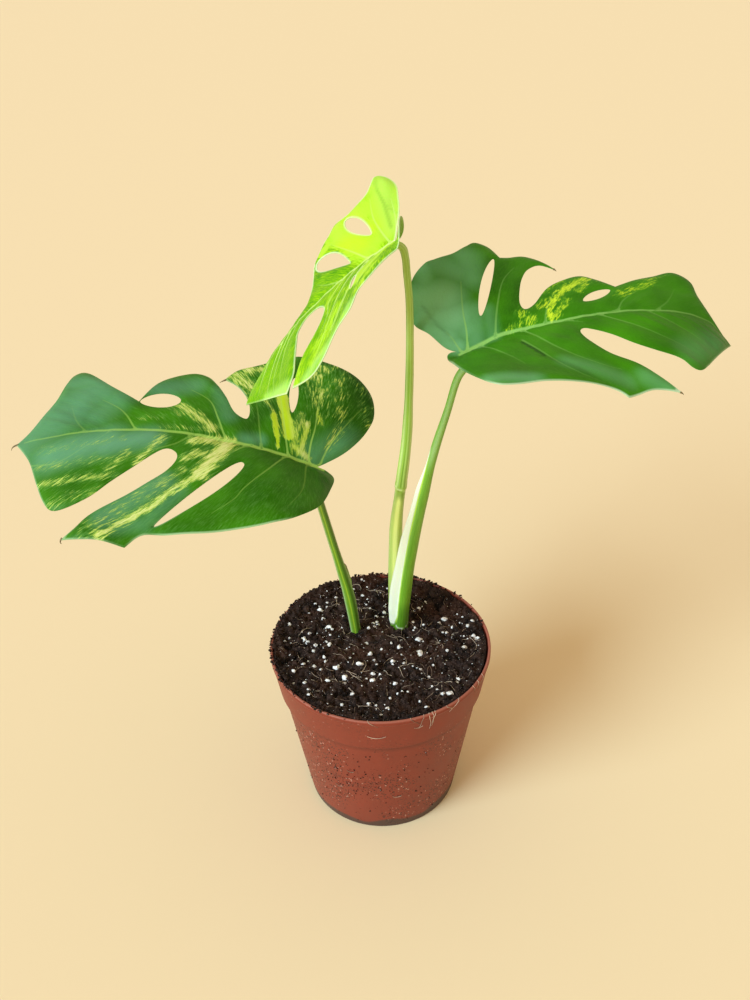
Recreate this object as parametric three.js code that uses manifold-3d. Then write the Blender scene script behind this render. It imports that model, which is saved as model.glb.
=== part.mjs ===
// Potted Swiss cheese plant, aurea form: three cut leaves on three stalks in a plastic nursery pot.
// Lengths are millimetres and angles are degrees. +Z is up and the front of the plant faces -Y.
// The origin is the middle of the pot's foot.
import * as THREE from 'three';
import Module from 'manifold-3d';
import { mergeVertices } from 'three/addons/utils/BufferGeometryUtils.js';

const wasm = await Module();
wasm.setup();

// Driving dimensions
const FIT = 0.3;
const POT = {
  height: 101.2,
  rimRadius: 60,
  collarFootRadius: 56.3,
  collarFootHeight: 79.2,
  bodyTopRadius: 55,
  bodyTopHeight: 78,
  footRadius: 42.4,
  footHeight: 2,
  footWidth: 4,
  padRadius: 11,
  bevel: 0.8,
  lip: 0.5,
  rimBand: 2.4,
  floor: 1.3,
  wall: 1.3,
  segments: 48,
};
const DRAIN = { count: 8, radius: 3.5, circle: 30 };
const SOIL = { inset: 0.55, edge: 98.6, mound: 1.6, lump: 0.7, sectors: 40, ring: 6.4 };
const PERLITE = { count: 34, smallest: 1.1, largest: 2.3, reach: 53, sunk: 0.45, clear: 9 };
const BLADE = { thickness: 0.8, edgeStep: 4, gridStep: 8.5, ribHeight: 0.9, ribHalfWidth: 2.4 };
const STALK = { sides: 12, step: 9, clearance: 0.6, approach: 4 };

const radians = THREE.MathUtils.degToRad;

// Eased value between [position, value] keys
function along(keys, position) {
  let low = keys[0];
  for (const high of keys) {
    if (position <= high[0]) {
      if (high === low) return high[1];
      const t = (position - low[0]) / (high[0] - low[0]);
      return low[1] + (high[1] - low[1]) * t * t * (3 - 2 * t);
    }
    low = high;
  }
  return low[1];
}

function geometryFrom(vertices, triangles) {
  const geometry = new THREE.BufferGeometry();
  geometry.setAttribute('position', new THREE.Float32BufferAttribute(vertices, 3));
  geometry.setIndex(triangles);
  return geometry;
}

function solid(geometry) {
  const bare = geometry.clone();
  bare.deleteAttribute('normal');
  bare.deleteAttribute('uv');
  const merged = mergeVertices(bare, 1e-4);
  return new wasm.Manifold(new wasm.Mesh({
    numProp: 3,
    vertProperties: new Float32Array(merged.attributes.position.array),
    triVerts: new Uint32Array(merged.index.array),
  }));
}

function geometryOf(manifold) {
  const mesh = manifold.getMesh();
  return geometryFrom(Array.from(mesh.vertProperties), Array.from(mesh.triVerts));
}

const group = new THREE.Group();
group.name = 'potted_swiss_cheese_plant';

function addPart(name, geometry, color, roughness) {
  geometry.computeVertexNormals();
  const material = new THREE.MeshStandardMaterial({ color, roughness, metalness: 0 });
  const mesh = new THREE.Mesh(geometry, material);
  mesh.name = name;
  group.add(mesh);
}

// Pot: one moulded shell with a foot ring and a middle pad to stand on, a tapered body and a flared collar
const inside = {
  floor: POT.footHeight + POT.floor,
  footRadius: POT.footRadius - POT.wall,
  bodyTopRadius: POT.bodyTopRadius - POT.wall,
  bodyTopHeight: POT.bodyTopHeight + POT.wall,
  collarFootRadius: POT.collarFootRadius - POT.wall,
  collarFootHeight: POT.collarFootHeight + POT.wall,
  rimRadius: POT.rimRadius - POT.wall,
};

function potShell() {
  const profile = [
    [0, 0],
    [POT.padRadius, 0],
    [POT.padRadius + POT.bevel, POT.footHeight],
    [POT.footRadius - POT.footWidth - POT.bevel, POT.footHeight],
    [POT.footRadius - POT.footWidth, 0],
    [POT.footRadius - POT.bevel, 0],
    [POT.footRadius, POT.bevel],
    [POT.bodyTopRadius, POT.bodyTopHeight],
    [POT.collarFootRadius, POT.collarFootHeight],
    [POT.rimRadius - POT.lip, POT.height - POT.rimBand - POT.lip],
    [POT.rimRadius, POT.height - POT.rimBand],
    [POT.rimRadius, POT.height - POT.lip],
    [POT.rimRadius - POT.lip, POT.height],
    [inside.rimRadius + POT.lip / 2, POT.height],
    [inside.rimRadius, POT.height - POT.lip],
    [inside.collarFootRadius, inside.collarFootHeight],
    [inside.bodyTopRadius, inside.bodyTopHeight],
    [inside.footRadius, inside.floor],
    [0, inside.floor],
  ].map(([radius, height]) => new THREE.Vector2(radius, height));
  let shell = solid(new THREE.LatheGeometry(profile, POT.segments).rotateX(Math.PI / 2));
  for (let i = 0; i < DRAIN.count; i += 1) {
    const angle = (2 * Math.PI * (i + 0.5)) / DRAIN.count;
    const hole = new THREE.CylinderGeometry(DRAIN.radius, DRAIN.radius, 12, 16).rotateX(Math.PI / 2);
    hole.translate(DRAIN.circle * Math.cos(angle), DRAIN.circle * Math.sin(angle), 0);
    shell = shell.subtract(solid(hole));
  }
  return geometryOf(shell);
}

// Stalks: each grows out of the soil and ends just under its blade
// girth gives the radius at a height, shape changes it round the section (0 faces +X, 90 faces +Y)
const bump = (angle, middle, spread) => {
  const away = THREE.MathUtils.euclideanModulo(angle - middle + 180, 360) - 180;
  return Math.exp(-((away / spread) ** 2));
};
const STALKS = {
  left: {
    path: [
      [-11.4, 15, 76], [-13.5, 11.5, 100], [-16.4, 7.8, 128], [-19.9, 5, 148], [-23.5, 2.5, 167],
      [-27, 0, 186], [-30, -2.2, 202],
    ],
    girth: [[75, 2.6], [100, 2.8], [125, 3.1], [140, 2.7], [165, 2.2], [200, 2], [216, 2.2]],
    shape: (angle, height) => 1 - 0.14 * bump(angle, 270, 22)
      + 0.3 * bump(angle, 10, 16) * along([[132, 0], [139, 1], [149, 1], [152, 0]], height),
    start: 10,
  },
  centre: {
    path: [
      [8.6, 26.5, 76], [8.7, 24, 100], [8.8, 20.6, 141], [9.7, 17.8, 169], [12, 15.8, 192], [14.8, 13.6, 220],
      [15.8, 11.8, 243], [16.2, 9.6, 270], [15.8, 7.6, 295], [14.6, 6.6, 309], [14, 6, 315.5],
    ],
    girth: [
      [75, 3.4], [120, 3.6], [160, 3.4], [187, 2.7], [190.6, 2.7], [191.2, 3.1], [193, 3.1],
      [196, 2.9], [225, 2.5], [245, 2], [300, 1.9], [319, 1.8], [321, 1.3],
    ],
    shape: (angle) => 1 - 0.1 * bump(angle, 250, 24),
    start: 10,
  },
  right: {
    path: [
      [9.9, 15.8, 76], [11.4, 13.9, 100], [12.6, 11.9, 120], [15.8, 8.8, 150], [21, 5.3, 184],
      [27.8, 1.4, 221], [33.4, -0.9, 244], [37.6, -3, 262],
    ],
    girth: [[75, 4.2], [125, 4.1], [150, 3.6], [190, 3], [216, 2.2], [250, 1.7], [275, 1.8]],
    shape: (angle, height) => {
      const wing = along([[104, 0.8], [125, 0.85], [160, 0.8], [195, 0.45], [216, 0]], height);
      return 1 + wing * bump(angle, 175, 15) - 0.25 * Math.min(1, 2 * wing) * bump(angle, 215, 22);
    },
    start: 17.5,
  },
};

function stalkSurface(stalk, end, grow) {
  const points = [...stalk.path, ...end].map((point) => new THREE.Vector3(...point));
  const curve = new THREE.CatmullRomCurve3(points);
  const steps = Math.round(curve.getLength() / STALK.step);
  const vertices = [];
  const triangles = [];
  let side = new THREE.Vector3(1, 0, 0);
  for (let i = 0; i <= steps; i += 1) {
    const centre = curve.getPointAt(i / steps);
    const heading = curve.getTangentAt(i / steps);
    side = side.clone().addScaledVector(heading, -side.dot(heading)).normalize();
    const front = heading.clone().cross(side);
    if (i === 0) centre.addScaledVector(heading, -grow);
    if (i === steps) centre.addScaledVector(heading, grow);
    const girth = along(stalk.girth, centre.z);
    for (let j = 0; j < STALK.sides; j += 1) {
      const angle = stalk.start + (360 * j) / STALK.sides;
      const radius = girth * stalk.shape(angle, centre.z) + grow;
      const rim = centre.clone();
      rim.addScaledVector(side, radius * Math.cos(radians(angle)));
      rim.addScaledVector(front, radius * Math.sin(radians(angle)));
      vertices.push(rim.x, rim.y, rim.z);
      if (i > 0) {
        const here = i * STALK.sides + j;
        const next = i * STALK.sides + ((j + 1) % STALK.sides);
        triangles.push(here - STALK.sides, next - STALK.sides, next);
        triangles.push(here - STALK.sides, next, here);
      }
    }
  }
  for (const [first, order] of [[0, 1], [steps * STALK.sides, -1]]) {
    const hub = vertices.length / 3;
    const middle = curve.getPointAt(first === 0 ? 0 : 1);
    middle.addScaledVector(curve.getTangentAt(first === 0 ? 0 : 1), -order * grow);
    vertices.push(middle.x, middle.y, middle.z);
    for (let j = 0; j < STALK.sides; j += 1) {
      const pair = [first + j, first + ((j + 1) % STALK.sides)];
      triangles.push(hub, ...(order > 0 ? pair.reverse() : pair));
    }
  }
  return geometryFrom(vertices, triangles);
}

// Leaves: a flat outline is laid on a curved surface that hangs from the stalk's end.
// x runs along the midrib and y to the leaf's left. An edge is a chain of smooth runs that meet in corners.
// pitch is the midrib's rise at the stalk and droop is how far it has turned down at the tip.
// Each half is folded up from the midrib by its fold angle, keyed along the length, and curls down outward.
const LEAVES = {
  left: {
    base: [-28.7, -4, 216.4],
    joint: { x: 1.5, depth: 1.6, lean: 0 },
    length: 142,
    azimuth: 181,
    pitch: 30,
    roll: -6,
    droop: 45,
    droopPower: 1,
    leftFold: [[-0.3, 14], [0, 14], [0.5, -8], [1, -10]],
    rightFold: [[-0.3, 26], [0, 26], [0.5, 12], [1, 10]],
    curl: 2.2,
    ripple: { height: 1.5, length: 48, left: 0.6, right: 2.2 },
    edge: [
      [[0, 0], [-5, 0], [-9, 4], [-7, 16], [-1, 36], [10, 51], [21, 56], [34, 58], [48, 60], [63, 60],
        [76, 59], [84, 65]],
      [[84, 65], [95, 63], [106, 62], [116, 60]],
      [[116, 60], [109, 56], [102, 50], [87, 40], [78, 33], [70, 26], [66, 19], [67, 14], [73, 13],
        [85, 24], [94, 32], [103, 40], [113, 44], [122, 44], [127, 38], [131, 28], [136, 14], [144, 1]],
      [[144, 1], [138, -6], [133, -15], [128, -25], [125, -38], [122, -45], [116, -45], [102, -30],
        [88, -18]],
      [[88, -18], [82, -30], [75, -37], [66, -42], [59, -40], [54, -34], [49, -26], [44, -17],
        [38, -14], [37, -19], [39, -26], [44, -33], [51, -38]],
      [[51, -38], [46, -45], [38, -50], [28, -58], [19, -65], [4, -63], [-11, -60], [-19, -54],
        [-22, -43], [-20, -32], [-16, -22], [-10, -12], [0, 0]],
    ],
    openings: [
      { from: [35.5, 16], to: [71, 55], width: 7.5, widest: 0.38, bend: 3 },
      { from: [69, -20.5], to: [87.5, -18], width: 10, widest: 0.45, bend: 0 },
      { from: [18, -25], to: [20, -48], width: 4.2, widest: 0.5, bend: 0 },
    ],
    color: '#2f7a1f',
  },
  centre: {
    base: [9.5, 5, 323.5],
    joint: { x: 1, depth: 1.9, lean: 0.9 },
    length: 101,
    azimuth: 190,
    pitch: -27,
    roll: 1,
    droop: 37,
    droopPower: 1,
    leftFold: [[-0.14, 92], [0.02, 14], [0.5, 2], [1, -2]],
    rightFold: [[0, 16], [0.25, 6], [0.42, 2], [0.58, -28], [1, -40]],
    curl: 1,
    ripple: { height: 1, length: 40, left: 0.5, right: 2 },
    edge: [
      [[0, 0], [-3, 5], [-6, 9], [-7, 14], [-4, 19], [4, 24], [14, 31], [22, 33], [28, 40], [37, 43],
        [48, 52], [56, 53], [68, 43]],
      [[68, 43], [59, 34], [51, 29], [44, 23], [40, 15], [43, 8], [50, 6], [56, 10], [58, 16],
        [62, 29], [65, 36], [72, 41]],
      [[72, 41], [85, 24], [101, 1]],
      [[101, 1], [92, -12], [78, -21], [66, -21], [57, -15], [52, -9], [49, -7], [45, -10], [42, -16],
        [39, -27]],
      [[39, -27], [37, -33], [31, -39], [26, -44], [20, -50], [12, -43], [6, -41], [1, -42],
        [-3, -47], [-6, -51], [-9, -50], [-12, -44], [-13, -36], [-11, -27], [-8, -17], [0, 0]],
    ],
    openings: [
      { from: [7.5, -14], to: [14.5, -41], width: 6.5, widest: 0.55, bend: 0 },
      { from: [21.5, -6], to: [35, -31], width: 10.5, widest: 0.64, bend: 0 },
      { from: [21.5, 12], to: [25, 22], width: 2, widest: 0.5, bend: 0 },
    ],
    color: '#b2e61c',
  },
  right: {
    base: [40.1, -4, 274.6],
    joint: { x: 1, depth: 1.6, lean: 0 },
    length: 134,
    azimuth: 6,
    pitch: 18,
    roll: 6,
    droop: 66,
    droopPower: 2.1,
    leftFold: [[-0.3, 30], [0, 30], [0.5, 6], [1, 22]],
    rightFold: [[-0.3, 22], [0, 22], [0.5, -4], [1, -12]],
    curl: 2.2,
    ripple: { height: 1.5, length: 52, left: 1, right: 2.6 },
    edge: [
      [[0, 0], [-7, 6], [-12, 16], [-17, 24], [-15, 35], [-11, 48], [-3, 54], [3, 54], [11, 55],
        [18, 60], [23, 64], [28, 61], [31, 52]],
      [[31, 52], [35, 52], [41, 53], [46, 50], [50, 45], [53, 39]],
      [[53, 39], [47, 44], [41, 41], [37, 35], [34, 28], [31, 18], [32, 13], [37, 15], [45, 24],
        [53, 29], [62, 32], [68, 28], [75, 20]],
      [[75, 20], [85, 25], [94, 28], [102, 32], [107, 31], [111, 27], [113, 18], [120, 7], [130, -3]],
      [[130, -3], [118, -18], [107, -31], [101, -36], [96, -36], [91, -32], [80, -28], [71, -23],
        [63, -16], [56, -11], [52, -9], [50, -12], [52, -19], [58, -28], [68, -35], [76, -43],
        [85, -53]],
      [[85, -53], [76, -51], [69, -51], [58, -55]],
      [[58, -55], [54, -52], [47, -50], [38, -49], [25, -49], [13, -52], [6, -51], [1, -43],
        [-4, -27], [-7, -9], [-8, 1], [-5, 3], [0, 0]],
    ],
    openings: [
      { from: [12.5, 16], to: [28, 51], width: 4.6, widest: 0.45, bend: 0 },
      { from: [58, 11], to: [72, 18], width: 6, widest: 0.5, bend: 0 },
      { from: [24, -8], to: [29.5, -28], width: 2.2, widest: 0.4, bend: 0 },
    ],
    color: '#357f1c',
  },
};

// Curved leaf surface: returns the point at (x, y) on the middle of the blade
function bladeSurface(leaf) {
  const reach = 60;
  const frames = [];
  for (let x = -reach; x <= leaf.length + 30; x += 1) {
    const part = Math.max(x / leaf.length, 0);
    const pitch = radians(leaf.pitch - leaf.droop * part ** leaf.droopPower);
    const azimuth = radians(leaf.azimuth);
    const heading = new THREE.Vector3(
      Math.cos(azimuth) * Math.cos(pitch),
      Math.sin(azimuth) * Math.cos(pitch),
      Math.sin(pitch),
    );
    const level = new THREE.Vector3(-Math.sin(azimuth), Math.cos(azimuth), 0);
    const upright = heading.clone().cross(level);
    const roll = radians(leaf.roll);
    const side = level.clone().multiplyScalar(Math.cos(roll)).addScaledVector(upright, Math.sin(roll));
    const up = upright.clone().multiplyScalar(Math.cos(roll)).addScaledVector(level, -Math.sin(roll));
    frames.push({ heading, side, up, point: new THREE.Vector3(...leaf.base) });
  }
  for (let i = reach + 1; i < frames.length; i += 1) {
    const mean = frames[i].heading.clone().add(frames[i - 1].heading).multiplyScalar(0.5);
    frames[i].point = frames[i - 1].point.clone().add(mean);
  }
  for (let i = reach - 1; i >= 0; i -= 1) {
    const mean = frames[i].heading.clone().add(frames[i + 1].heading).multiplyScalar(0.5);
    frames[i].point = frames[i + 1].point.clone().sub(mean);
  }
  return (x, y) => {
    const place = THREE.MathUtils.clamp(x + reach, 0, frames.length - 1.001);
    const from = frames[Math.floor(place)];
    const to = frames[Math.floor(place) + 1];
    const t = place - Math.floor(place);
    const fold = radians(along(y >= 0 ? leaf.leftFold : leaf.rightFold, x / leaf.length));
    const curl = radians(leaf.curl) / 10;
    const out = Math.sqrt(y * y + 4) - 2;
    const width = (Math.sin(fold) - Math.sin(fold - curl * out)) / curl;
    const wave = 2 * Math.PI * (x / leaf.ripple.length) + (y >= 0 ? leaf.ripple.left : leaf.ripple.right);
    const rise = (Math.cos(fold - curl * out) - Math.cos(fold)) / curl
      + leaf.ripple.height * (out / 60) ** 2 * Math.sin(wave);
    const across = Math.sign(y) * width + (y - Math.sign(y) * out) * Math.cos(fold);
    const point = from.point.clone().lerp(to.point, t);
    point.addScaledVector(from.side.clone().lerp(to.side, t), across);
    point.addScaledVector(from.up.clone().lerp(to.up, t), rise);
    return point;
  };
}

function normalAt(surface, x, y) {
  const step = 0.5;
  const alongX = surface(x + step, y).sub(surface(x - step, y));
  const alongY = surface(x, y + step).sub(surface(x, y - step));
  return alongX.cross(alongY).normalize();
}

function edgeLoop(runs) {
  return runs.flatMap((run) => {
    const curve = new THREE.SplineCurve(run.map(([x, y]) => new THREE.Vector2(x, y)));
    const parts = Math.max(2, Math.round(curve.getLength() / BLADE.edgeStep));
    return curve.getSpacedPoints(parts).slice(0, -1).map((point) => [point.x, point.y]);
  });
}

// Spindle-shaped opening between two points, with a bowed middle line
function openingLoop({ from, to, width, widest, bend }) {
  const length = Math.hypot(to[0] - from[0], to[1] - from[1]);
  const direction = [(to[0] - from[0]) / length, (to[1] - from[1]) / length];
  const parts = Math.max(4, Math.round(length / BLADE.edgeStep) + 1);
  const power = Math.log(0.5) / Math.log(widest);
  const point = (t, sideways) => {
    const shift = bend * 4 * t * (1 - t) + sideways * (width / 2) * Math.sin(Math.PI * t ** power) ** 0.55;
    return [
      from[0] + direction[0] * length * t - direction[1] * shift,
      from[1] + direction[1] * length * t + direction[0] * shift,
    ];
  };
  const loop = [];
  const spaced = (i) => (1 - Math.cos((Math.PI * i) / parts)) / 2;
  for (let i = 0; i < parts; i += 1) loop.push(point(spaced(i), 1));
  for (let i = parts; i > 0; i -= 1) loop.push(point(spaced(i), -1));
  return loop;
}

function insideLoop([x, y], loop) {
  let hit = false;
  loop.forEach(([ax, ay], i) => {
    const [bx, by] = loop[(i + 1) % loop.length];
    if (ay > y !== by > y && x < ((bx - ax) * (y - ay)) / (by - ay) + ax) hit = !hit;
  });
  return hit;
}

function nearLoop([x, y], loop, limit) {
  return loop.some(([ax, ay], i) => {
    const [bx, by] = loop[(i + 1) % loop.length];
    const length = (bx - ax) ** 2 + (by - ay) ** 2;
    const t = THREE.MathUtils.clamp(((x - ax) * (bx - ax) + (y - ay) * (by - ay)) / length, 0, 1);
    return Math.hypot(ax + t * (bx - ax) - x, ay + t * (by - ay) - y) < limit;
  });
}

function circleThrough(a, b, c) {
  const d = 2 * (a[0] * (b[1] - c[1]) + b[0] * (c[1] - a[1]) + c[0] * (a[1] - b[1]));
  const [sa, sb, sc] = [a, b, c].map(([x, y]) => x * x + y * y);
  const x = (sa * (b[1] - c[1]) + sb * (c[1] - a[1]) + sc * (a[1] - b[1])) / d;
  const y = (sa * (c[0] - b[0]) + sb * (a[0] - c[0]) + sc * (b[0] - a[0])) / d;
  return { x, y, square: (a[0] - x) ** 2 + (a[1] - y) ** 2 };
}

// Delaunay triangles of a set of points, by adding one point at a time
function delaunay(points) {
  const far = 5000;
  const all = [...points, [-far, -far], [far, -far], [0, far]];
  const first = points.length;
  const triangle = (a, b, c) => ({ corners: [a, b, c], circle: circleThrough(all[a], all[b], all[c]) });
  let triangles = [triangle(first, first + 1, first + 2)];
  points.forEach(([x, y], index) => {
    const rim = new Map();
    const kept = [];
    for (const entry of triangles) {
      const { circle, corners } = entry;
      if ((circle.x - x) ** 2 + (circle.y - y) ** 2 >= circle.square) {
        kept.push(entry);
        continue;
      }
      corners.forEach((from, k) => {
        const to = corners[(k + 1) % 3];
        if (!rim.delete(`${to} ${from}`)) rim.set(`${from} ${to}`, [from, to]);
      });
    }
    rim.forEach(([from, to]) => kept.push(triangle(from, to, index)));
    triangles = kept;
  });
  return triangles.map(({ corners }) => corners).filter((corners) => Math.max(...corners) < first);
}

// Triangles that fill an outline with openings; an edge that is missed is halved and the work is repeated
function fillOutline(outline, openings, inner) {
  const loops = [outline, ...openings];
  for (;;) {
    const points = [...loops.flat(), ...inner];
    const triangles = delaunay(points);
    const edges = new Set();
    triangles.forEach((corners) => corners.forEach((from, k) => {
      const to = corners[(k + 1) % 3];
      edges.add(`${from} ${to}`).add(`${to} ${from}`);
    }));
    let start = 0;
    let missed = false;
    loops.forEach((loop, index) => {
      const whole = loop.flatMap((here, i) => {
        const j = (i + 1) % loop.length;
        if (edges.has(`${start + i} ${start + j}`)) return [here];
        missed = true;
        return [here, [(here[0] + loop[j][0]) / 2, (here[1] + loop[j][1]) / 2]];
      });
      start += loop.length;
      loops[index] = whole;
    });
    if (missed) continue;
    const kept = triangles.filter((corners) => {
      const middle = [0, 1].map((k) => corners.reduce((sum, corner) => sum + points[corner][k], 0) / 3);
      return insideLoop(middle, loops[0]) && !loops.slice(1).some((loop) => insideLoop(middle, loop));
    });
    return { points, triangles: kept };
  }
}

function bladeGeometry(leaf) {
  const surface = bladeSurface(leaf);
  const outline = edgeLoop(leaf.edge);
  const openings = leaf.openings.map(openingLoop);
  const loops = [outline, ...openings];
  const inner = [];
  const offer = (point, limit) => {
    const held = insideLoop(point, outline) && !openings.some((loop) => insideLoop(point, loop));
    if (held && !loops.some((loop) => nearLoop(point, loop, limit))) inner.push(point);
  };
  for (let x = 4; x < leaf.length - 5; x += 7) {
    [-BLADE.ribHalfWidth, 0, BLADE.ribHalfWidth].forEach((y) => offer([x, y], 1.2));
  }
  const row = BLADE.gridStep * 0.87;
  for (let j = -10; j <= 10; j += 1) {
    for (let i = -4; i < 20; i += 1) {
      const x = (i + (j % 2) / 2) * BLADE.gridStep + 0.4 * Math.sin(7 * i + 3 * j);
      const y = j * row + 0.4 * Math.sin(5 * i - 2 * j);
      if (Math.abs(y) > BLADE.ribHalfWidth + 2) offer([x, y], 0.45 * BLADE.gridStep);
    }
  }
  const { points, triangles } = fillOutline(outline, openings, inner);
  const ribHeight = (x, y) => {
    if (x < 1 || x > leaf.length - 5) return 0;
    const taper = 1 - (0.8 * x) / leaf.length;
    return BLADE.ribHeight * taper * Math.max(0, 1 - Math.abs(y) / BLADE.ribHalfWidth);
  };
  const vertices = [];
  for (const face of [1, -1]) {
    for (const [x, y] of points) {
      const offset = face * (BLADE.thickness / 2) - (face < 0 ? ribHeight(x, y) : 0);
      const point = surface(x, y).addScaledVector(normalAt(surface, x, y), offset);
      vertices.push(point.x, point.y, point.z);
    }
  }
  const count = points.length;
  const faces = [];
  const rims = new Map();
  for (const corners of triangles) {
    const [a, b, c] = corners;
    faces.push(a, b, c, a + count, c + count, b + count);
    corners.forEach((from, k) => {
      const to = corners[(k + 1) % 3];
      if (!rims.delete(`${to} ${from}`)) rims.set(`${from} ${to}`, [from, to]);
    });
  }
  rims.forEach(([from, to]) => faces.push(from, from + count, to, to, from + count, to + count));
  return geometryFrom(vertices, faces);
}

// Soil: fills the pot, with a lumpy top, perlite grains sunk in it and a plain hole round each stalk
function soilHeight(x, y) {
  const radius = Math.hypot(x, y);
  const lumps = Math.sin(x / 5.1 + 1) * Math.cos(y / 6.3) + 0.7 * Math.sin(x / 2.9 - y / 3.7);
  const back = 1.6 * Math.exp(-(((x + 34) / 26) ** 2) - ((y - 42) / 18) ** 2);
  return SOIL.edge + SOIL.mound * (1 - (radius / POT.rimRadius) ** 2) + SOIL.lump * lumps + back;
}

function soilBody() {
  const topRadius = inside.rimRadius - 2 * SOIL.inset;
  const rows = [];
  for (let radius = SOIL.ring; radius < topRadius - 2; radius += SOIL.ring) rows.push([radius, null]);
  rows.push([topRadius, null]);
  rows.push([inside.collarFootRadius - SOIL.inset, inside.collarFootHeight + FIT]);
  rows.push([inside.bodyTopRadius - SOIL.inset, inside.bodyTopHeight + FIT]);
  rows.push([inside.footRadius - SOIL.inset, inside.floor + FIT]);
  const vertices = [0, 0, soilHeight(0, 0), 0, 0, inside.floor + FIT];
  const faces = [];
  rows.forEach(([radius, height], i) => {
    for (let j = 0; j < SOIL.sectors; j += 1) {
      const angle = (2 * Math.PI * j) / SOIL.sectors;
      const x = radius * Math.cos(angle);
      const y = radius * Math.sin(angle);
      vertices.push(x, y, height ?? soilHeight(x, y));
      const next = (j + 1) % SOIL.sectors;
      const here = 2 + i * SOIL.sectors;
      if (i === 0) faces.push(0, here + j, here + next);
      if (i === rows.length - 1) faces.push(1, here + next, here + j);
      if (i > 0) {
        const before = here - SOIL.sectors;
        faces.push(before + j, here + j, here + next, before + j, here + next, before + next);
      }
    }
  });
  return solid(geometryFrom(vertices, faces));
}

function seeded(seed) {
  let state = seed;
  return () => {
    state = (state * 1103515245 + 12345) % 2147483648;
    return state / 2147483648;
  };
}

function withPerlite(body) {
  const random = seeded(11);
  const stalks = Object.values(STALKS).map(({ path }) => path[1]);
  let soil = body;
  let placed = 0;
  while (placed < PERLITE.count) {
    const angle = 2 * Math.PI * random();
    const distance = PERLITE.reach * Math.sqrt(random());
    const x = distance * Math.cos(angle);
    const y = distance * Math.sin(angle);
    const radius = PERLITE.smallest + (PERLITE.largest - PERLITE.smallest) * random() ** 2;
    const turn = 6 * random();
    if (stalks.some(([sx, sy]) => Math.hypot(sx - x, sy - y) < PERLITE.clear)) continue;
    const grain = new THREE.IcosahedronGeometry(radius, 0).scale(1, 0.85, 0.8);
    grain.rotateX(turn).rotateZ(2 * turn);
    grain.translate(x, y, soilHeight(x, y) + radius * (1 - 2 * PERLITE.sunk));
    soil = soil.add(solid(grain));
    placed += 1;
  }
  return soil;
}

// A stalk ends under the start of the midrib, and lean tips its last part toward the leaf's tip.
function stalkEnd({ joint, ...leaf }) {
  const surface = bladeSurface(leaf);
  const start = surface(joint.x, 0);
  const normal = normalAt(surface, joint.x, 0);
  const heading = surface(joint.x + 1, 0).sub(start).normalize();
  const direction = normal.clone().addScaledVector(heading, joint.lean).normalize();
  const end = start.addScaledVector(normal, -joint.depth);
  return [end.clone().addScaledVector(direction, -STALK.approach).toArray(), end.toArray()];
}

const ends = Object.fromEntries(Object.entries(LEAVES).map(([name, leaf]) => [name, stalkEnd(leaf)]));

addPart('pot', potShell(), '#a8523a', 0.55);

let soil = withPerlite(soilBody());
for (const [name, stalk] of Object.entries(STALKS)) {
  soil = soil.subtract(solid(stalkSurface(stalk, ends[name], STALK.clearance)));
}
addPart('soil', geometryOf(soil), '#2b1e18', 0.95);

const STALK_COLORS = { left: '#5c9a2a', centre: '#a6c25a', right: '#6fa53a' };
for (const [name, stalk] of Object.entries(STALKS)) {
  addPart(`petiole_${name}`, stalkSurface(stalk, ends[name], 0), STALK_COLORS[name], 0.45);
}
for (const [name, leaf] of Object.entries(LEAVES)) {
  addPart(`leaf_${name}`, bladeGeometry(leaf), leaf.color, 0.4);
}

export default group;
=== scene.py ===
import math
import random

import bmesh
import bpy
import numpy as np
from mathutils import Matrix, Vector, geometry, noise


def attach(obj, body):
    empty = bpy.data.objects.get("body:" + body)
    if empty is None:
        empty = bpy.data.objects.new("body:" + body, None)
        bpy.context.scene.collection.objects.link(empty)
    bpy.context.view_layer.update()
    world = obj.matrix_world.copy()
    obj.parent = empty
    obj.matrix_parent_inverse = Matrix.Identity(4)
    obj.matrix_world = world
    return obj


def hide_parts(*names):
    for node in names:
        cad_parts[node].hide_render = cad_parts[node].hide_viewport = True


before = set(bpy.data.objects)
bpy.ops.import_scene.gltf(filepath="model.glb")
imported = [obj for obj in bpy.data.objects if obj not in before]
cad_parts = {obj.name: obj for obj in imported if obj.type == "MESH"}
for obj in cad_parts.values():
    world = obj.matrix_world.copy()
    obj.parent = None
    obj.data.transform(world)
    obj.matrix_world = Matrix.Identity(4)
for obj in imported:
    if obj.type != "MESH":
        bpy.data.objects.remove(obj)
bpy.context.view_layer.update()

# Camera: it looks down on the plant from the front, from where the photograph was taken.
# The picture is taller than wide, and its long side on the film is as long as the lens.
# Sizes are in millimetres here and below, and MM turns them to metres.
MM = 0.001
CAMERA_PLACE = (-1.3, -411.2, 468.1)
CAMERA_DOWN = math.radians(33.68)
CAMERA_ROLL = math.radians(-1.2)
CAMERA_LENS = 36

back = Vector((0, -math.cos(CAMERA_DOWN), math.sin(CAMERA_DOWN)))
sideways = Vector((1, 0, 0))
upright = back.cross(sideways)
right = sideways * math.cos(CAMERA_ROLL) + upright * math.sin(CAMERA_ROLL)
above = upright * math.cos(CAMERA_ROLL) - sideways * math.sin(CAMERA_ROLL)
lens = bpy.data.cameras.new("camera")
lens.lens = CAMERA_LENS
lens.sensor_width = CAMERA_LENS
lens.clip_start = 0.01
lens.clip_end = 50
camera = bpy.data.objects.new("camera", lens)
facing = Matrix((right, above, back)).transposed().to_4x4()
camera.matrix_world = Matrix.Translation(Vector(CAMERA_PLACE) * MM) @ facing
bpy.context.scene.collection.objects.link(camera)
bpy.context.scene.camera = camera

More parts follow.
